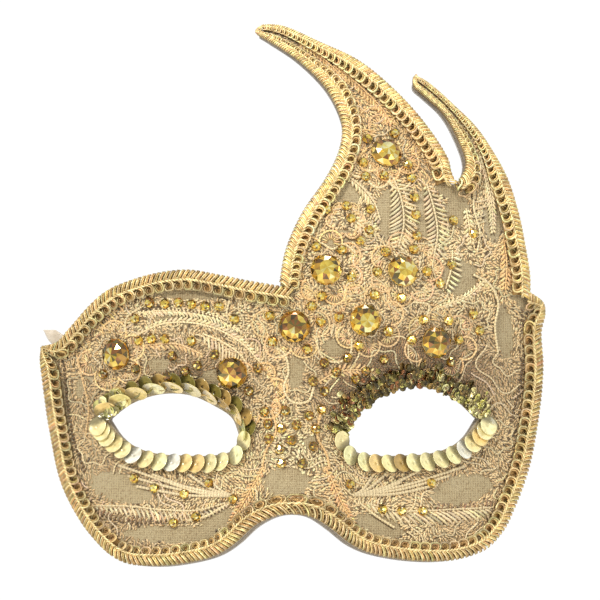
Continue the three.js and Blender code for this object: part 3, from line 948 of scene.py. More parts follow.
def right_upper_glitter():
    """A thick line of small loose flakes, brighter towards both ends."""
    rail = lid_rail("right", True)
    soup = Soup()
    bright_tints = (LIME, YELLOW, PALE, YELLOW)
    dark_tints = (OLIVE, TAR, (0.30, 0.12, 0.04), TAR, (0.40, 0.26, 0.08))
    for flake in range(FLAKES):
        share = rng.random()
        s = rail.length * share
        stray = flake >= FLAKES - STRAY_FLAKES
        across = 5 + 4 * rng.beta(1.2, 2.6) if stray else 0.2 + 5.4 * rng.beta(1.5, 1.6)
        ends = abs(share - 0.45) * 2
        bright = rng.random() < 0.06 + 0.8 * ends**2.2
        choices = bright_tints if bright else dark_tints
        colour = choices[rng.integers(len(choices))]
        size = 1.5 + 1.3 * rng.random()
        lean, height = rng.normal(0, 0.45), 0.4 + 1.1 * rng.random()
        add_sequin(soup, rail, s, across, size, colour, lean=lean, cup=0.15, height=height)
    soup.piece("right_upper_glitter_line", GLITTER, "glitter", ["right_upper_glitter"])


# ---- Stones ----
# Facet colours of the stones: they paint the reflections and shade that a foiled stone's facets show.
STONE_TABLE = [
    (0.98, 0.84, 0.26), (0.95, 0.72, 0.12), (0.88, 0.62, 0.08), (1.0, 0.93, 0.50),
    (0.72, 0.50, 0.06),
]
STONE_BRIGHT = [
    (0.96, 0.74, 0.16), (0.86, 0.52, 0.05), (0.99, 0.88, 0.42), (0.66, 0.36, 0.04),
    (0.92, 0.66, 0.10),
]
STONE_DARK = [
    (0.17, 0.085, 0.02), (0.33, 0.13, 0.03), (0.20, 0.16, 0.035), (0.46, 0.25, 0.04),
    (0.10, 0.07, 0.02),
]
TOP_SHADED_STONES = ("left_temple", "nose", "left_centre", "right_brow")  # these have painted shade on their upper half
# Diameter, height and number of sides.
LARGE_GEM = (10.9, 3.7, 12)
SMALL_GEM = (3.7, 1.8, 8)
EXTRA_GEM = (3.6, 1.7, 8)
SMALL_STONE_RADIUS = 1.9
LEAST_STONE_GAP = 1.75  # from the middle of an added stone to the edge of another


def gem_shape(diameter, height, sides):
    """A flat-backed faceted stone: base, girdle, a zigzag crown and a table."""
    r = diameter / 2
    turn = np.arange(sides) * 2 * np.pi / sides
    half = turn + np.pi / sides
    rings = [(0.93, 0.0, turn), (1, 0.16, turn), (0.97, 0.34, turn), (0.76, 0.74, half), (0.46, 1, turn)]
    points = [(0, 0, 0)]
    for share, level, angles in rings:
        points += [(share * r * math.cos(a), share * r * math.sin(a), level * height) for a in angles]
    points.append((0, 0, height * 1.02))
    top = len(points) - 1
    start = [1 + i * sides for i in range(5)]
    faces, kinds = [], []

    def add(kind, *corners):
        faces.append(corners)
        kinds.append(kind)

    for m in range(sides):
        n = (m + 1) % sides
        here, following = [first + m for first in start], [first + n for first in start]
        add("back", 0, following[0], here[0])
        for k in (0, 1):
            add("edge", here[k], following[k], following[k + 1])
            add("edge", here[k], following[k + 1], here[k + 1])
        add("crown", here[2], following[2], here[3])
        add("crown", following[2], following[3], here[3])
        add("crown", here[3], following[4], here[4])
        add("crown", here[3], following[3], following[4])
        add("table", here[4], following[4], top)
    return np.array(points), np.array(faces), kinds


def make_stone(name, plan, size, node=None, dark=False):
    """One stone with its own colours, facet by facet: its gold hue with painted reflection and shade."""
    diameter, height, sides = size
    points, faces, kinds = gem_shape(diameter, height, sides)
    turn = rng.random() * 2 * math.pi
    spin = np.array([[math.cos(turn), math.sin(turn), 0], [-math.sin(turn), math.cos(turn), 0], [0, 0, 1]])
    basis = spin @ frame_at(plan, np.array([1.0, 0.0]))
    soup = Soup()
    soup.add(place(plan, np.array(STONE_SEAT - 0.35)) + points @ basis, (1, 1, 1), faces)
    piece = soup.piece(name, GLASS, "stones", [node] if node else (), smooth=False)
    deep = name.startswith(TOP_SHADED_STONES)
    shades = []
    for kind, face in zip(kinds, faces):
        # Painted reflection and shade: facets high on the stone are mostly dark, lower ones mostly bright.
        over = (points[face].mean(0) @ basis)[2] > (-0.15 if deep else 0.25) * diameter
        # dark: painted shade above the eyes
        if dark:
            options = STONE_DARK if rng.random() < 0.75 else STONE_BRIGHT
        elif kind == "table":
            options = STONE_DARK[1:4] if deep and over and rng.random() < 0.7 else STONE_TABLE
        elif kind == "crown":
            options = STONE_DARK if rng.random() < (0.85 if over else 0.3) else STONE_BRIGHT
        else:
            options = STONE_BRIGHT[1:4]
        shades.append(options[rng.integers(len(options))])
    colours = np.ones((3 * len(faces), 4))
    colours[:, :3] = np.repeat(np.array(shades), 3, axis=0)
    mesh = piece.data
    mesh.attributes.remove(mesh.attributes["tint"])
    mesh.attributes.new("tint", "FLOAT_COLOR", "CORNER").data.foreach_set("color", colours.ravel())


def node_plan(node):
    """The plan point under the middle of a CAD stone."""
    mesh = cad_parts[node].data
    corners = np.zeros(3 * len(mesh.vertices))
    mesh.vertices.foreach_get("co", corners)
    corners = corners.reshape(-1, 3) / METRES
    middle = (corners.min(0) + corners.max(0)) / 2
    plan = middle[[0, 2]]
    for _ in range(4):
        off = place(plan, np.array(STONE_SEAT + 1.2)) - middle
        plan = plan - off[[0, 2]]
    return plan


def in_painted_shade_patch(spot):
    """Whether a small stone lies where the photographed ones are nearly black, above the eyes. Stones
    there get dark facets as painted shade.
    """
    x, z = spot
    return 8 < z < 25 and (x > 5 or x < -9)


def make_stones():
    """Every CAD stone, and where each is with its radius."""
    large, small = [], []
    for node in sorted(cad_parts):
        if node.endswith("_stone"):
            plan = node_plan(node)
            make_stone(node + "_gem", plan, LARGE_GEM, node)
            large.append((plan, LARGE_GEM[0] / 2))
        elif node.startswith("small_stone"):
            plan = node_plan(node)
            make_stone(node + "_gem", plan, SMALL_GEM, node, in_painted_shade_patch(plan))
            small.append((plan, SMALL_STONE_RADIUS))
    return large, small


# ---- Points drawn from the front ----
VIEW_DISTANCE = 2222
VIEW_HEIGHT = 41.7
VIEW_X = 2.33


def drawn(points, height=LACE[1]):
    """The plan points that look to be at these x and z from the front, at a height."""
    seen = np.asarray(points, float)
    plan = seen.copy()
    for _ in range(6):
        at = place(plan, np.full(plan.shape[:-1], height))
        share = (VIEW_DISTANCE + at[..., 1]) / VIEW_DISTANCE
        wanted = np.stack([seen[..., 0] * share, VIEW_HEIGHT + (seen[..., 1] - VIEW_HEIGHT) * share], -1)
        plan = plan + wanted - at[..., [0, 2]]
    return plan


# ---- Embroidery ----
CREAM = (0.98, 0.81, 0.47)
TAN = (0.86, 0.60, 0.29)
PEACH = (0.94, 0.62, 0.27)
RED_BROWN = (0.30, 0.17, 0.07)
BROWN = (0.62, 0.42, 0.20)
STRAW = (0.84, 0.69, 0.41)
SHADE = (0.16, 0.095, 0.03)


class LaceMap:
    """A fine grid that says where the lace is free of braids and eye openings."""

    STEP = 0.6
    BRAID_COVER = 0.8  # share of a braid's width that hides the lace
    EYE_CLEARANCE = 3.2

    def __init__(self):
        self.low = OUTLINE.min(0)
        count = np.ceil((OUTLINE.max(0) - self.low) / self.STEP).astype(int) + 1
        cells = np.array([(i, k) for i in range(count[0]) for k in range(count[1])])
        spots = cells * self.STEP + self.low
        free = inside(OUTLINE[::2], spots)
        edge, widths = outline_widths()
        for part in np.array_split(np.flatnonzero(free), 40):
            gaps = np.linalg.norm(spots[part][:, None] - edge[None], axis=2)
            apart = gaps - self.BRAID_COVER * widths[None]
            free[part] = apart.min(1) > 0
            for eye in EYES:
                away = np.linalg.norm(spots[part][:, None] - eye[None, ::2], axis=2).min(1)
                free[part] &= (away > self.EYE_CLEARANCE) & ~inside(eye, spots[part])
        self.free = free.reshape(count)

    def __call__(self, points):
        cell = np.rint((points - self.low) / self.STEP).astype(int)
        held = np.clip(cell, 0, np.array(self.free.shape) - 1)
        return self.free[held[..., 0], held[..., 1]] & (cell == held).all(-1)


def outline_widths():
    """Closely spaced plan points on the outline, each with its braid's width."""
    spots, widths = [], []
    for name in STRETCHES:
        rail = braid_rail(name)
        spots.append(rail.points[::3])
        widths.append(rail.widths[::3])
    return np.vstack(spots), np.concatenate(widths)


ON_LACE = LaceMap()
CORD_TURN = 1.1  # length of one turn of a couched cord


class Needlework:
    """Short stitches and long cords of one area, made into one mesh."""

    def __init__(self, name):
        self.name = name
        self.soup = Soup()

    def stitches(self, starts, ends, width, colours, bow=0.0, lift=0.0, rise=0.7):
        """Short raised stitches between plan points. A bow pushes the middle sideways, in mm."""
        starts, ends = np.atleast_2d(starts), np.atleast_2d(ends)
        free = ON_LACE(starts) & ON_LACE(ends)
        if not free.any():
            return
        width, bow, lift = (np.broadcast_to(np.ravel(v), (len(free),))[free] for v in (width, bow, lift))
        colours = np.broadcast_to(np.asarray(colours, float), (len(free), 3))[free]
        starts, ends, lift = starts[free], ends[free], lift[:, None]
        share = np.array([0, 0.3, 0.7, 1.0])
        line = starts[:, None] + (ends - starts)[:, None] * share[None, :, None]
        side = unit(to_left(ends - starts))
        arch = np.array([0, 1, 1, 0.0])
        line = line + side[:, None] * (bow[:, None] * arch)[..., None]
        half = width[:, None] / 2 * np.array([0.55, 1, 1, 0.55])
        height = LACE[1] + lift + half * rise * 0.8 + 0.12 * arch
        self.soup.add_tubes(place(line, height), half, np.repeat(colours, 4, axis=0), rise, sides=4)

    def cord(self, line, width, colour, lift=0.1):
        """A long couched cord, with a painted highlight on top of each turn of its twist, on the free lace
        only.
        """
        for first, last in runs(ON_LACE(line), 3):
            self.cord_run(line[first:last], width, colour, lift)

    def cord_run(self, line, width, colour, lift):
        rail = Rail(line)
        s = np.arange(0, rail.length, 0.45)
        if len(s) < 4:
            return
        swing = 2 * np.pi * s / CORD_TURN
        across = 0.06 * np.sin(swing)
        height = LACE[1] + lift + width * 0.4 + 0.05 * np.cos(swing)
        half = width / 2 * (1 + 0.16 * np.cos(swing))
        line = place(rail.at(s, across), height)[None]
        # Painted highlight on top of each turn of the twist.
        glow = 0.88 + 0.22 * np.cos(swing)
        self.soup.add_tubes(line, half[None], np.array(colour) * glow[:, None], 0.85, sides=5)

    def edged_cord(self, line, width, colour):
        """A cord with a thin dark cord of painted shadow beside it."""
        rail = Rail(line)
        self.cord(line, width, colour)
        self.cord(rail.at(rail.lengths, 0.6 * width), 0.35, SHADE, lift=-0.05)

    def curl(self, controls, width, colour):
        """An edged cord through control points drawn from the front."""
        self.edged_cord(drawn(smooth_line(controls)), width, colour)

    def leaf(self, midrib, reaches, pitch, slant, colour):
        """Satin ribs on both sides of a midrib, with thin dark stitches of painted shade in the gaps
        between them. Reaches are the ribs' lengths to the left and right of its way, and slant is the
        angle between rib and midrib in degrees."""
        rail = Rail(drawn(smooth_line(midrib)))
        width = 0.62 * pitch
        s = np.arange(0.5, rail.length, pitch)
        swell = np.sin(np.pi * np.clip((s + 1) / (rail.length + 2), 0, 1)) ** 0.6
        angle = math.radians(slant)
        for sign, reach in zip((-1, 1), reaches):
            if not reach:
                continue
            for shift, colours, size, lift in (
                (0, varied(colour, len(s), 0.12), width, 0.1),
                (pitch / 2, np.broadcast_to(SHADE, (len(s), 3)), 0.34, -0.12),
            ):
                root = rail.at(s + shift, sign * 0.5)
                side = rail.side(s) * sign
                way = side * math.sin(angle) + to_left(rail.side(s)) * math.cos(angle)
                tips = root + way * (reach * swell)[:, None]
                self.stitches(root, tips, size, colours, bow=sign * 0.25, lift=lift)
        self.cord(rail.points, 0.7, np.array(colour) * 1.08)

    def petals(self, centre, radius, lobes, turn, colour):
        """Scalloped petals round a stone, each a double arc with satin stitches inside."""
        middle = drawn([centre])[0]
        for k in range(lobes):
            angle = math.radians(turn) + 2 * math.pi * k / lobes
            hub = middle + radius * heading(angle)
            size = radius * math.sin(math.pi / lobes) * 1.05
            sweep = angle + np.linspace(-1.9, 1.9, 22)
            rim = hub + size * heading(sweep)
            self.edged_cord(rim, 0.75, varied(colour, 1, 0.1)[0] * 1.15)
            rays = angle + np.linspace(-1.7, 1.7, 11)
            out = heading(rays)
            tints = varied(colour, len(rays), 0.15)
            self.stitches(hub + out * 0.25 * size, hub + out * 0.85 * size, 0.5, tints, lift=0.05)

    def comb(self, line, reach, pitch, slant, colour):
        """Teeth standing on one side of a line, with thin dark stitches of painted shade between them and
        a dark mark of painted shade at each root.
        """
        rail = Rail(drawn(smooth_line(line)))
        s = np.arange(0.4, rail.length, pitch)
        angle = math.radians(slant)
        side = rail.side(s)
        way = side * math.sin(angle) + to_left(side) * math.cos(angle)
        root = rail.at(s)
        length = reach * rng.uniform(0.8, 1.1, len(s))[:, None]
        self.stitches(root, root + way * length, 0.7, varied(colour, len(s), 0.15), bow=0.3, lift=0.1)
        gap = rail.at(s + pitch / 2)
        self.stitches(gap, gap + way * length * 0.8, 0.34, SHADE, lift=-0.1)
        self.stitches(root - way * 0.4, root - way * 1.5, 1.15, SHADE, lift=0.0)

    def piece(self):
        if self.soup.count:
            self.soup.piece(self.name, SILK, "lace")


# Places where the net ground is left bare, drawn from the front: centre, half sizes and turn.
WINDOWS = [
    (-58, -21.5, 11, 5, -12), (-40, -36.5, 17, 3, 0), (-25, -31, 6, 3.5, 25), (57, -22, 11, 5, 10),
    (29, -33.5, 9, 3.6, -18), (-2, -19, 8, 5, 0), (6, -5.5, 3, 2, 0), (14, 26, 4.5, 3, 0),
    (1, 18, 2.6, 6, 0), (12, 42, 4.5, 2.2, 0), (15, 62, 6.5, 3.4, 10), (18.5, 77, 4, 4.5, 30),
    (56, 49, 6.5, 6.5, -20), (55.5, 72, 4.5, 5.5, 0), (33, 70, 6, 9, 5), (45.5, 70, 4.6, 10, 4),
    (71, 31, 3.5, 9, 5), (-77, 7, 2, 8, 0), (-72, 12, 1.5, 4, 0), (-34, 43.6, 15, 1.6, -2),
    (-33, 35, 13, 1.5, -3), (-44.8, 19.9, 3.5, 2.6, 0), (-27, 16, 4, 2.6, 10), (-68, 17, 2, 3, 0),
    (67.5, 68, 3.5, 7, 0),
]
# Colours of the stitching, drawn from the front: centre, reach, colour and strength. The reddish brown
# tints along both eyes, from (16, 12) on, are painted shade in the eye sockets.
TINTED_AREAS = [
    ((46.5, 89), 5, RED_BROWN, 1), ((20, 108), 18, PEACH, 0.9), ((42, 88), 12, PEACH, 0.9),
    ((-76, 26), 10, PEACH, 0.6), ((72, 50), 10, PEACH, 0.7), ((-10, -12), 7, PEACH, 0.5),
    ((12, -20), 8, PEACH, 0.6), ((-14, -25), 9, PEACH, 0.8), ((65, 104), 12, TAN, 0.4),
    ((0, 33), 9, PEACH, 0.35), ((24, 35), 10, PEACH, 0.3), ((-55, -36), 12, BROWN, 0.6),
    ((60, -33), 11, BROWN, 0.6), ((-58, -24), 20, BROWN, 0.5), ((58, -20), 18, BROWN, 0.45),
    ((0, 20), 11, BROWN, 0.4), ((-74, 8), 15, BROWN, 0.5), ((76, 12), 17, BROWN, 0.6),
    # from (16, 12) on: painted shade in the eye sockets
    ((-1, -9), 11, CREAM, 0.8), ((16, 12), 10.4, RED_BROWN, 0.85), ((24, 18), 10.4, RED_BROWN, 0.9),
    ((36, 22), 11.7, RED_BROWN, 1), ((48, 21), 10.4, RED_BROWN, 0.95), ((60, 17), 10.4, RED_BROWN, 0.85),
    ((-32, 17), 11.7, RED_BROWN, 0.7), ((-44, 16), 10.4, RED_BROWN, 0.6), ((-20, 15), 7.8, RED_BROWN, 0.6),
    ((-62, 4), 9.1, RED_BROWN, 0.5), ((-60, -16), 7.8, RED_BROWN, 0.45),
]


def in_window(seen):
    """Whether points drawn from the front lie in a bare window of net."""
    bare = np.zeros(len(seen), bool)
    for x, z, half_x, half_z, turn in WINDOWS:
        angle = math.radians(turn)
        off = seen - (x, z)
        u = (off[:, 0] * math.cos(angle) + off[:, 1] * math.sin(angle)) / half_x
        v = (off[:, 1] * math.cos(angle) - off[:, 0] * math.sin(angle)) / half_z
        bare |= u**2 + v**2 < rng.uniform(0.75, 1.1, len(seen))
    return bare


# Middles of the large stones, drawn from the front.
LARGE_STONES = {
    "left_temple": (-60.7, 23.3), "nose": (-14, 10), "left_centre": (-0.7, 33.7),
    "right_centre": (24.7, 35), "right_brow": (49, 27.3), "left_forehead": (11.3, 52.5),
    "right_forehead": (37.5, 52), "tall_horn": (32, 92.5),
}
# Middles of the rosettes and scrolls whose satin bands fill the lace, drawn from the front.
ROSETTES = [
    *LARGE_STONES.values(), (-40, 24), (-70, 12), (-66, -8), (-64, 37), (-20, 20), (17.5, 68),
    (24, 110), (8, 123), (60, 58), (72, 48), (72, 22), (68, -4), (60, 36), (2, 16), (-8, -1), (9, -1),
    (-16, -26), (17, -27), (-50, -32), (-72, -24), (50, -32), (72, -22), (30, 20), (42, 76), (28, 80),
    (66, 84), (56, 104), (-74, 27), (-3, 47), (-27, 38),
]
BAND_WIDTH = 2.5
SEED_STEP = 0.8  # between the ground stitches


def satin_bands(seen):
    """For points drawn from the front: where each lies across its band, and the way outward."""
    middles = np.array(ROSETTES, float)
    off = seen[:, None] - middles[None]
    nearest = np.linalg.norm(off, axis=2).argmin(1)
    off = off[np.arange(len(seen)), nearest]
    turn = np.arctan2(off[:, 1], off[:, 0])
    reach = np.hypot(off[:, 0], off[:, 1])
    lobes = 5 + nearest % 3
    edge = reach * (1 + 0.13 * np.cos(lobes * turn + nearest))
    return (edge / BAND_WIDTH) % 1, turn + 0.5 * np.sin(lobes * turn + nearest)


def add_scallops(works):
    """Couched cords along the petal edges of every rosette, kept inside its own field."""
    for number, (x, z) in enumerate(ROSETTES):
        lobes = 5 + number % 3
        for ring in (2, 4, 5):
            turn = np.linspace(0, 2 * np.pi, 24 * ring)
            reach = ring * BAND_WIDTH / (1 + 0.13 * np.cos(lobes * turn + number))
            line = np.array([x, z]) + reach[:, None] * heading(turn)
            middles = np.array(ROSETTES, float)
            near = np.linalg.norm(line[:, None] - middles[None], axis=2).argmin(1) == number
            plan = drawn(line)
            near &= ~in_window(line)
            colour = varied(STRAW, 1, 0.1)[0]
            for first, last in runs(near, 7):
                works[area_name(line[(first + last) // 2])].edged_cord(plan[first:last], 0.62, colour)


def runs(flags, least):
    """Starts and ends of the unbroken runs of true flags."""
    edges = np.flatnonzero(np.diff(np.concatenate([[0], flags.astype(int), [0]])))
    return [(a, b) for a, b in zip(edges[::2], edges[1::2]) if b - a >= least]


def seed_colours(seen, band):
    """Colours of the ground stitches: cream and tan bands, tinted by area, with dark stitches of painted
    shade, dense in the gaps at the bands' edges.
    """
    count = len(seen)
    light = np.clip(0.5 - 0.5 * np.cos(2 * np.pi * band) + rng.normal(0, 0.22, count), 0, 1)
    colours = np.array(TAN) + (np.array(CREAM) - np.array(TAN)) * light[:, None]
    for centre, reach, colour, strength in TINTED_AREAS:
        near = strength * np.exp(-((np.linalg.norm(seen - centre, axis=1) / reach) ** 2))[:, None]
        tone = np.array(colour) * (0.8 + 0.4 * light[:, None])
        colours = colours * (1 - near) + tone * near
    colours *= 1 + rng.normal(0, 0.08, (count, 1))
    # Painted shade: dark stitches, dense at the bands' edges and sparse elsewhere.
    dark = rng.random(count) < np.where((band < 0.14) | (band > 0.9), 0.5, 0.07)
    colours[dark] = np.array(SHADE) * rng.uniform(0.7, 2.2, (dark.sum(), 1))
    return np.clip(colours, 0.01, 0.97)


def area_name(seen):
    """Which piece of needlework a point belongs to."""
    x, z = seen
    if z > 58:
        return "tall_horn_stitching" if x < 56 else "short_horn_stitching"
    if z < -9:
        return "left_cheek_stitching" if x < 0 else "right_cheek_stitching"
    if x < -16:
        return "left_brow_stitching"
    return "centre_stitching" if x < 20 else "right_brow_stitching"


def seed_ground(works, stone_spots):
    """Dense small stitches over the net wherever no window, stone, sequin or braid is."""
    lo, hi = OUTLINE.min(0), OUTLINE.max(0)
    xs, zs = (np.arange(lo[i], hi[i], SEED_STEP) for i in (0, 1))
    grid = np.array([(x, z) for x in xs for z in zs])
    grid = grid + rng.uniform(-0.3, 0.3, grid.shape)
    keep = ON_LACE(grid)
    for spot, radius in stone_spots:
        keep &= np.linalg.norm(grid - spot, axis=1) > 0.8 * radius
    grid = grid[keep]
    seen = place(grid, np.full(len(grid), LACE[1]))[:, [0, 2]]
    shown = ~in_window(seen)
    grid, seen = grid[shown], seen[shown]
    band, outward = satin_bands(seen)
    angle = outward + 0.45 + rng.normal(0, 0.12, len(grid))
    half = heading(angle) * rng.uniform(0.42, 0.72, len(grid))[:, None]
    colours = seed_colours(seen, band)
    width = rng.uniform(0.5, 0.8, len(grid))
    lift = np.where(colours[:, 0] < 0.3, -0.1, 0.06)
    owners = np.array([area_name(p) for p in seen])
    for name in np.unique(owners):
        own = owners == name
        works[name].stitches(
            grid[own] - half[own], grid[own] + half[own], width[own], colours[own],
            bow=rng.normal(0, 0.1, own.sum()), lift=lift[own], rise=0.35,
        )


def stitch_brow(work):
    sweep = [(-52, 30), (-44, 33.6), (-34, 34.2), (-24, 31.5), (-16, 26.5), (-11, 21)]
    work.leaf(sweep, (2.6, 0), 1.5, 32, CREAM)
    work.leaf([(-52, 37.2), (-44, 38.2), (-34, 38), (-24, 35.6), (-17, 31)], (1.2, 2.4), 1.6, 28, CREAM)
    work.leaf([(-53, 26), (-46, 27), (-38, 27), (-30, 23.5)], (0, 2.6), 1.6, 40, TAN)
    work.leaf([(-30, 30.5), (-24, 28), (-18, 24), (-14.5, 19)], (0, 7.5), 1.35, 62, CREAM)
    work.comb([(-50, 37.8), (-38, 37.8), (-27, 35.6), (-19, 32)], 2.4, 1.2, 50, STRAW)
    work.comb([(-66, 33), (-62, 37), (-57, 41)], 3, 1.4, 80, PEACH)
    work.curl([(-56, 31), (-55, 36), (-50, 39.5)], 0.9, CREAM)
    work.curl([(-72, 24), (-70, 15), (-68, 6), (-69, -4)], 0.8, TAN)
    work.curl([(-21, 42), (-22, 37), (-20, 33)], 0.8, CREAM)
    work.petals(LARGE_STONES["left_temple"], 7.6, 6, 20, TAN)
    work.petals(LARGE_STONES["nose"], 7.9, 7, 10, PEACH)
    work.comb([(-77, 20), (-76, 8), (-74, -4), (-70, -16)], 3.2, 1.5, 70, TAN)


def stitch_centre(work):
    work.petals(LARGE_STONES["left_centre"], 8.2, 6, 0, TAN)
    work.petals(LARGE_STONES["right_centre"], 8.2, 7, 15, TAN)
    work.petals(LARGE_STONES["left_forehead"], 8.2, 7, 30, PEACH)
    work.curl([(-6, 26), (-3, 24), (-1.5, 18), (-3, 12), (0, 7.5), (5, 8), (7, 13)], 0.9, CREAM)
    work.curl([(7, 30), (10, 22.5), (15, 21), (19, 24), (19.5, 29)], 0.8, CREAM)
    work.curl([(5, 58), (9, 60.5), (13, 58.5), (17, 60), (21, 57)], 0.8, CREAM)
    work.leaf([(8, 14), (14, 17.5), (21, 18.5), (28, 17)], (2.4, 2.4), 1.5, 45, TAN)
    work.curl([(-7, 5), (-5.5, -2), (-9, -9), (-10, -14)], 0.9, PEACH)
    work.curl([(9, 4), (8, -4), (11, -10), (12, -15)], 0.9, PEACH)


def stitch_right_brow(work):
    work.petals(LARGE_STONES["right_forehead"], 8.2, 7, 0, TAN)
    work.petals(LARGE_STONES["right_brow"], 8.2, 7, 40, TAN)
    work.leaf([(47, 38.5), (52, 40.5), (58, 43), (64, 48.5)], (1.6, 1.6), 1.4, 35, CREAM)
    work.leaf([(53, 58), (52.5, 52), (50.5, 45)], (3.6, 0), 1.5, 75, CREAM)
    work.leaf([(70, 62), (71, 54), (70.5, 45)], (2.6, 2.6), 1.5, 40, PEACH)
    work.curl([(60, 50), (65, 47), (68, 41), (67, 33), (68, 24)], 0.9, CREAM)
    work.curl([(40, 41), (45, 40), (44, 36), (40, 34.5)], 0.8, CREAM)
    work.comb([(77, 38), (77.5, 26), (76, 12), (73, 0)], 3.4, 1.5, -70, TAN)


def stitch_tall_horn(work):
    work.leaf([(33.5, 82), (36, 75), (36.8, 67), (35, 59)], (5.6, 5.2), 1.5, 58, STRAW)
    work.leaf([(44.5, 80), (46.8, 72), (48, 64), (47, 57)], (4.6, 3.8), 1.5, 60, STRAW)
    work.leaf([(18, 83), (23, 79), (27, 74), (29, 68)], (0, 3.6), 1.5, 40, STRAW)
    work.leaf([(18, 70), (23, 66), (28, 64)], (3, 3), 1.6, 45, CREAM)
    work.petals(LARGE_STONES["tall_horn"], 8.0, 7, 10, PEACH)
    for centre in ((22, 86), (28.5, 82.5), (35.5, 82)):
        sweep = np.linspace(math.pi * 0.95, math.pi * 2.05, 18)
        work.edged_cord(drawn(np.array(centre) + 3.6 * heading(sweep)), 0.9, CREAM)
    work.leaf([(14, 120), (22, 113), (29, 106), (33, 100)], (2.6, 2.6), 1.4, 40, PEACH)
    work.leaf([(2, 127), (10, 122), (18, 114)], (1.8, 1.8), 1.3, 40, PEACH)
    work.petals((17.5, 68), 4.2, 6, 0, TAN)
    work.curl([(22, 93), (21, 100), (24, 105), (30, 105)], 0.8, PEACH)


def stitch_short_horn(work):
    work.leaf([(62, 90), (64.5, 82), (66, 73), (66.5, 64)], (2.6, 2.6), 1.5, 24, STRAW)
    work.leaf([(70, 84), (71.5, 75), (72, 66)], (0, 2.2), 1.7, 24, CREAM)
    work.leaf([(55, 104), (59, 98), (62, 91)], (1.2, 1.2), 1.5, 30, TAN)
    work.leaf([(57.5, 72), (58.5, 66), (59, 60)], (2, 2), 1.5, 40, CREAM)
    work.curl([(60, 80), (60, 72), (62, 64), (61, 57)], 0.8, CREAM)


def fan_line(work, foot, end):
    """A sagging satin line from the foot of a fan, with a dark line of painted shadow beside it."""
    middle = ((foot[0] + end[0]) / 2, (foot[1] + end[1]) / 2 - 1.3)
    work.curl([foot, middle, end], 1.1, STRAW)


def stitch_cheeks(left, right):
    """Fans of satin lines from beside the nose, leaves and dark combs below them, on both cheeks."""
    left_ends = [
        (-58, -13.5), (-55, -17), (-52, -20.5), (-47, -16.5), (-41, -19.5), (-35, -16.3), (-28, -17.5),
    ]
    right_ends = [(57, -13.8), (52, -17), (48, -20), (42, -15.3), (36, -19), (31, -16), (26, -17.5)]
    for end in left_ends:
        fan_line(left, (-19.4, -23.8), end)
    for end in right_ends:
        fan_line(right, (19.6, -23.5), end)
    left.leaf([(-66, -27), (-56, -27), (-44, -28.2), (-32, -28.5), (-22, -26)], (0, 4.2), 1.5, 62, STRAW)
    left.comb([(-69, -27), (-64, -30.6), (-56, -33.2), (-47, -33.6)], -3.4, 1.5, 105, RED_BROWN)
    left.comb([(-46, -33.4), (-34, -31.5), (-25, -28)], -3.0, 1.6, 105, TAN)
    right.leaf([(24, -26), (34, -28.5), (44, -28.6), (56, -28), (67, -27.5)], (0, 7.5), 1.8, 38, STRAW)
    right.comb([(46, -29.5), (54, -29.3), (62, -28.7), (70, -27)], 3.0, 1.5, -75, RED_BROWN)
    left.curl([(-35, -32), (-29, -30.5), (-22, -26.6)], 0.9, CREAM)
    right.curl([(22, -26), (27, -30), (34, -34.5)], 0.9, CREAM)
    left.leaf([(-9.5, -14), (-13, -20), (-17, -27), (-21, -33)], (2.2, 2.2), 1.4, 40, PEACH)
    right.leaf([(10.5, -14), (13.5, -20), (16.5, -27), (20, -33)], (2.2, 2.2), 1.4, 40, PEACH)


def make_embroidery(stone_spots):
    names = ["left_brow", "centre", "right_brow", "tall_horn", "short_horn", "left_cheek", "right_cheek"]
    works = {name + "_stitching": Needlework(name + "_stitching") for name in names}
    motifs = {name: Needlework(name + "_motifs") for name in names}
    seed_ground(works, stone_spots)
    add_scallops(works)
    stitch_brow(motifs["left_brow"])
    stitch_centre(motifs["centre"])
    stitch_right_brow(motifs["right_brow"])
    stitch_tall_horn(motifs["tall_horn"])
    stitch_short_horn(motifs["short_horn"])
    stitch_cheeks(motifs["left_cheek"], motifs["right_cheek"])
    for work in [*works.values(), *motifs.values()]:
        work.piece()


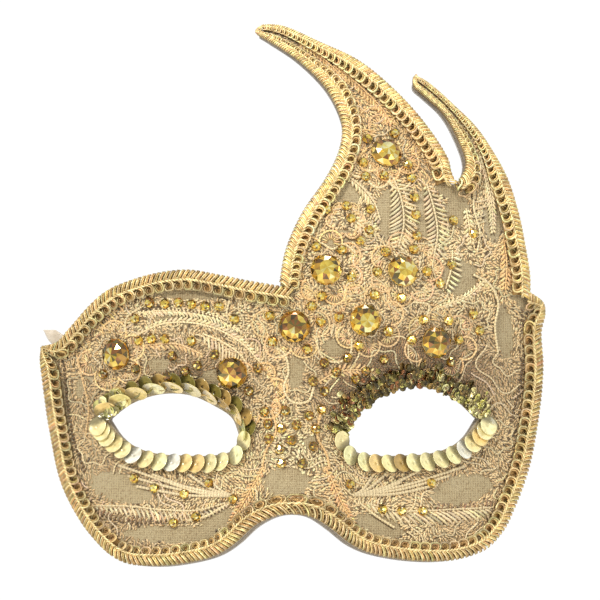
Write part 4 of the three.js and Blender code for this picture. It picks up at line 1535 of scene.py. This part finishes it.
# Small stones that the CAD leaves out, drawn from the front.
MORE_STONES = {
    "brow": [
        (-52.8, 35.5), (-47.9, 40.9), (-42.8, 40.5), (-38.2, 40.9), (-33.9, 40.3), (-29.4, 39.6),
        (-24.7, 39.6), (-19.6, 35.4), (-51.5, 28.1), (-47.3, 28.8), (-42.8, 28.8), (-39.2, 28.8),
        (-33.9, 28.1), (-28.1, 25.3), (-25.2, 22.4), (-40.3, 23), (-32, 19.8), (-35.9, 17.9),
        (-41.8, 16),
    ],
    "centre": [
        (29, 41.5), (-10.5, 21.1), (-20.2, 16.3), (10.5, 20.7), (18.2, 22.4), (14.6, 17.7),
        (6.7, 14.7), (10.5, 11.3), (24.4, 17.9), (30.3, 21.8), (21, 15.4),
    ],
    "tall_horn": [
        (11.4, 71.8), (14.6, 70.2), (17.8, 73.2), (19.4, 69), (25.8, 72.1), (25.4, 65.1),
        (22.4, 61.6), (40.5, 76), (41, 70.2), (41.4, 63.2), (24.2, 83), (39.5, 82.4),
    ],
    "right": [
        (53.5, 68.3), (52.9, 53.6), (49, 47.3), (60.1, 63.9), (60.1, 37.1), (62.2, 31.5),
    ],
    "nose": [
        (-9.6, 4.5), (-8.4, 0.4), (-2.6, 4.9), (-3.9, -1), (1.6, 6.4), (5.4, 3.2), (9.6, 5.2),
        (7.6, -1.2), (1.2, 0.1), (-8.1, -4.6), (-0.5, -5), (-4.5, -8), (6.9, -7), (-3.9, -12.7),
        (3.1, -12.7),
    ],
    "left_cheek": [
        (-53, -17.8), (-46.3, -21), (-36.3, -22.9), (-28.1, -19.3), (-20.1, -24.6), (-39.9, -32.5),
        (-32.4, -30.5),
    ],
    "right_cheek": [
        (19.1, -19.7), (29.9, -28), (36.3, -28.6), (46.2, -19.3), (43.3, -28.6),
    ],
}


def make_more_stones(taken):
    """Adds the small stones of each group that keep clear of the stones already there."""
    spots = []
    for group, points in MORE_STONES.items():
        for number, spot in enumerate(drawn(points, STONE_SEAT)):
            gaps = [np.linalg.norm(spot - other) - radius for other, radius in taken + spots]
            if min(gaps) > LEAST_STONE_GAP:
                name = f"{group}_small_stone_{number + 1:02d}"
                make_stone(name, spot, EXTRA_GEM, dark=in_painted_shade_patch(points[number]))
                spots.append((spot, EXTRA_GEM[0] / 2))
    return spots


# ---- Ribbon tabs ----
RIBBON_WIDTH = 10
TAB_LENGTH = 13


def make_ribbon_tabs():
    """A folded loop of satin ribbon behind each temple. The left one stands up past the corner."""
    for side, node, top in (("left", "left_ribbon_tab", 3.5), ("right", "right_ribbon_tab", 0.0)):
        low, high = (np.array(corner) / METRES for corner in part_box(node))
        middle = (low + high) / 2
        sign = -1 if side == "left" else 1
        end = TAB_LENGTH / 2 + top
        along = np.linspace(-TAB_LENGTH / 2, end, 30)
        soup = Soup()
        normal = front_normal(np.array([middle[0], middle[2]]))
        across = unit(np.cross(normal, np.array([0, 0, 1.0])))
        outward = across * np.sign(across[0]) * sign
        for gap in (0.38, -0.38):
            rows = []
            for t in along:
                bend = 0.98 * max(0, t) if top else 0
                pinch = 1 - 0.45 * smooth_step(4.0, end, t) * (top > 0)
                wave = gap * (1 - 0.9 * smooth_step(5.5 + 0.6 * top, end, t))
                centre = middle + np.array([0, 0, t - 0.3 * bend]) + outward * bend
                ripple = 0.35 * np.sin(np.linspace(0, 2 * np.pi, 9) + t / 2.5)
                widths = np.linspace(-RIBBON_WIDTH / 2, RIBBON_WIDTH / 2, 9) * pinch
                rows.append(centre + across * widths[:, None] + normal * (wave + 0.15 * ripple)[:, None])
            add_thin_sheet(soup, np.array(rows), normal * 0.2)
        piece = soup.piece(side + "_ribbon_loop", RIBBON, "ribbon", [node])


def add_thin_sheet(soup, rows, thickness):
    """A closed sheet from a grid of points."""
    count, size = rows.shape[:2]
    points = np.concatenate([rows.reshape(-1, 3), (rows + thickness).reshape(-1, 3)])
    grid = np.arange(count * size).reshape(count, size)
    face = np.stack([grid[:-1, :-1], grid[:-1, 1:], grid[1:, 1:], grid[1:, :-1]], -1).reshape(-1, 4)
    shift = count * size
    ring = np.concatenate([grid[0], grid[1:, -1], grid[-1, -2::-1], grid[-2:0:-1, 0]])
    after = np.roll(ring, -1)
    walls = np.stack([ring, after, after + shift, ring + shift], -1)[:, ::-1]
    soup.add(points, (1, 1, 1), quads=np.vstack([face, face[:, ::-1] + shift, walls]))


# ---- Light, floor and camera, in metres ----
# Place, size and power of each lamp. All of them face the same point.
LIGHTS = {
    "key": ((-0.7, -1.1, 1.1), 0.35, 17),
    "fill": ((1.3, -1.3, 0.3), 0.7, 6),
    "top": ((0.2, 0.1, 1.5), 0.5, 8),
}
LIT_POINT = (0, 0, 0.04)
SKY_STRENGTH = 0.62
BACKDROP_STRENGTH = 1.05  # as the camera sees the sky
FLOOR_RADIUS = 0.62
FLOOR_Z = -0.1


def make_studio():
    scene = bpy.context.scene
    scene.view_settings.view_transform = "Standard"
    world = bpy.data.worlds.new("studio")
    scene.world = world
    world.use_nodes = True
    nodes, links = world.node_tree.nodes, world.node_tree.links
    background = nodes["Background"]
    background.inputs["Color"].default_value = (1, 1, 1, 1)
    seen = nodes.new("ShaderNodeLightPath")
    strength = nodes.new("ShaderNodeMapRange")
    strength.inputs["To Min"].default_value = SKY_STRENGTH
    strength.inputs["To Max"].default_value = BACKDROP_STRENGTH
    links.new(seen.outputs["Is Camera Ray"], strength.inputs["Value"])
    links.new(strength.outputs["Result"], background.inputs["Strength"])
    for name, values in LIGHTS.items():
        add_light(name, *values)
    add_circle = bpy.ops.mesh.primitive_circle_add
    add_circle(vertices=96, radius=FLOOR_RADIUS, fill_type="NGON", location=(0, 0, FLOOR_Z))
    floor = bpy.context.object
    floor.name = "floor"
    floor.data.materials.append(studio_white())


def add_light(name, at, size, power):
    data = bpy.data.lights.new(name, "AREA")
    data.size = size
    data.energy = power
    light = bpy.data.objects.new(name, data)
    bpy.context.scene.collection.objects.link(light)
    light.location = at
    light.rotation_euler = (Vector(LIT_POINT) - Vector(at)).to_track_quat("-Z", "Y").to_euler()


def make_camera():
    data = bpy.data.cameras.new("camera")
    data.lens = 400
    data.sensor_width = 36
    data.clip_end = 20
    camera = bpy.data.objects.new("camera", data)
    bpy.context.scene.collection.objects.link(camera)
    camera.location = (VIEW_X * METRES, -VIEW_DISTANCE * METRES, VIEW_HEIGHT * METRES)
    camera.rotation_euler = (math.pi / 2, 0, 0)
    bpy.context.scene.camera = camera


make_camera()
make_studio()
make_sheets()
make_braids()
make_sequins()
large, small = make_stones()
more = make_more_stones(large + small)
make_embroidery(large + small + more)
make_ribbon_tabs()
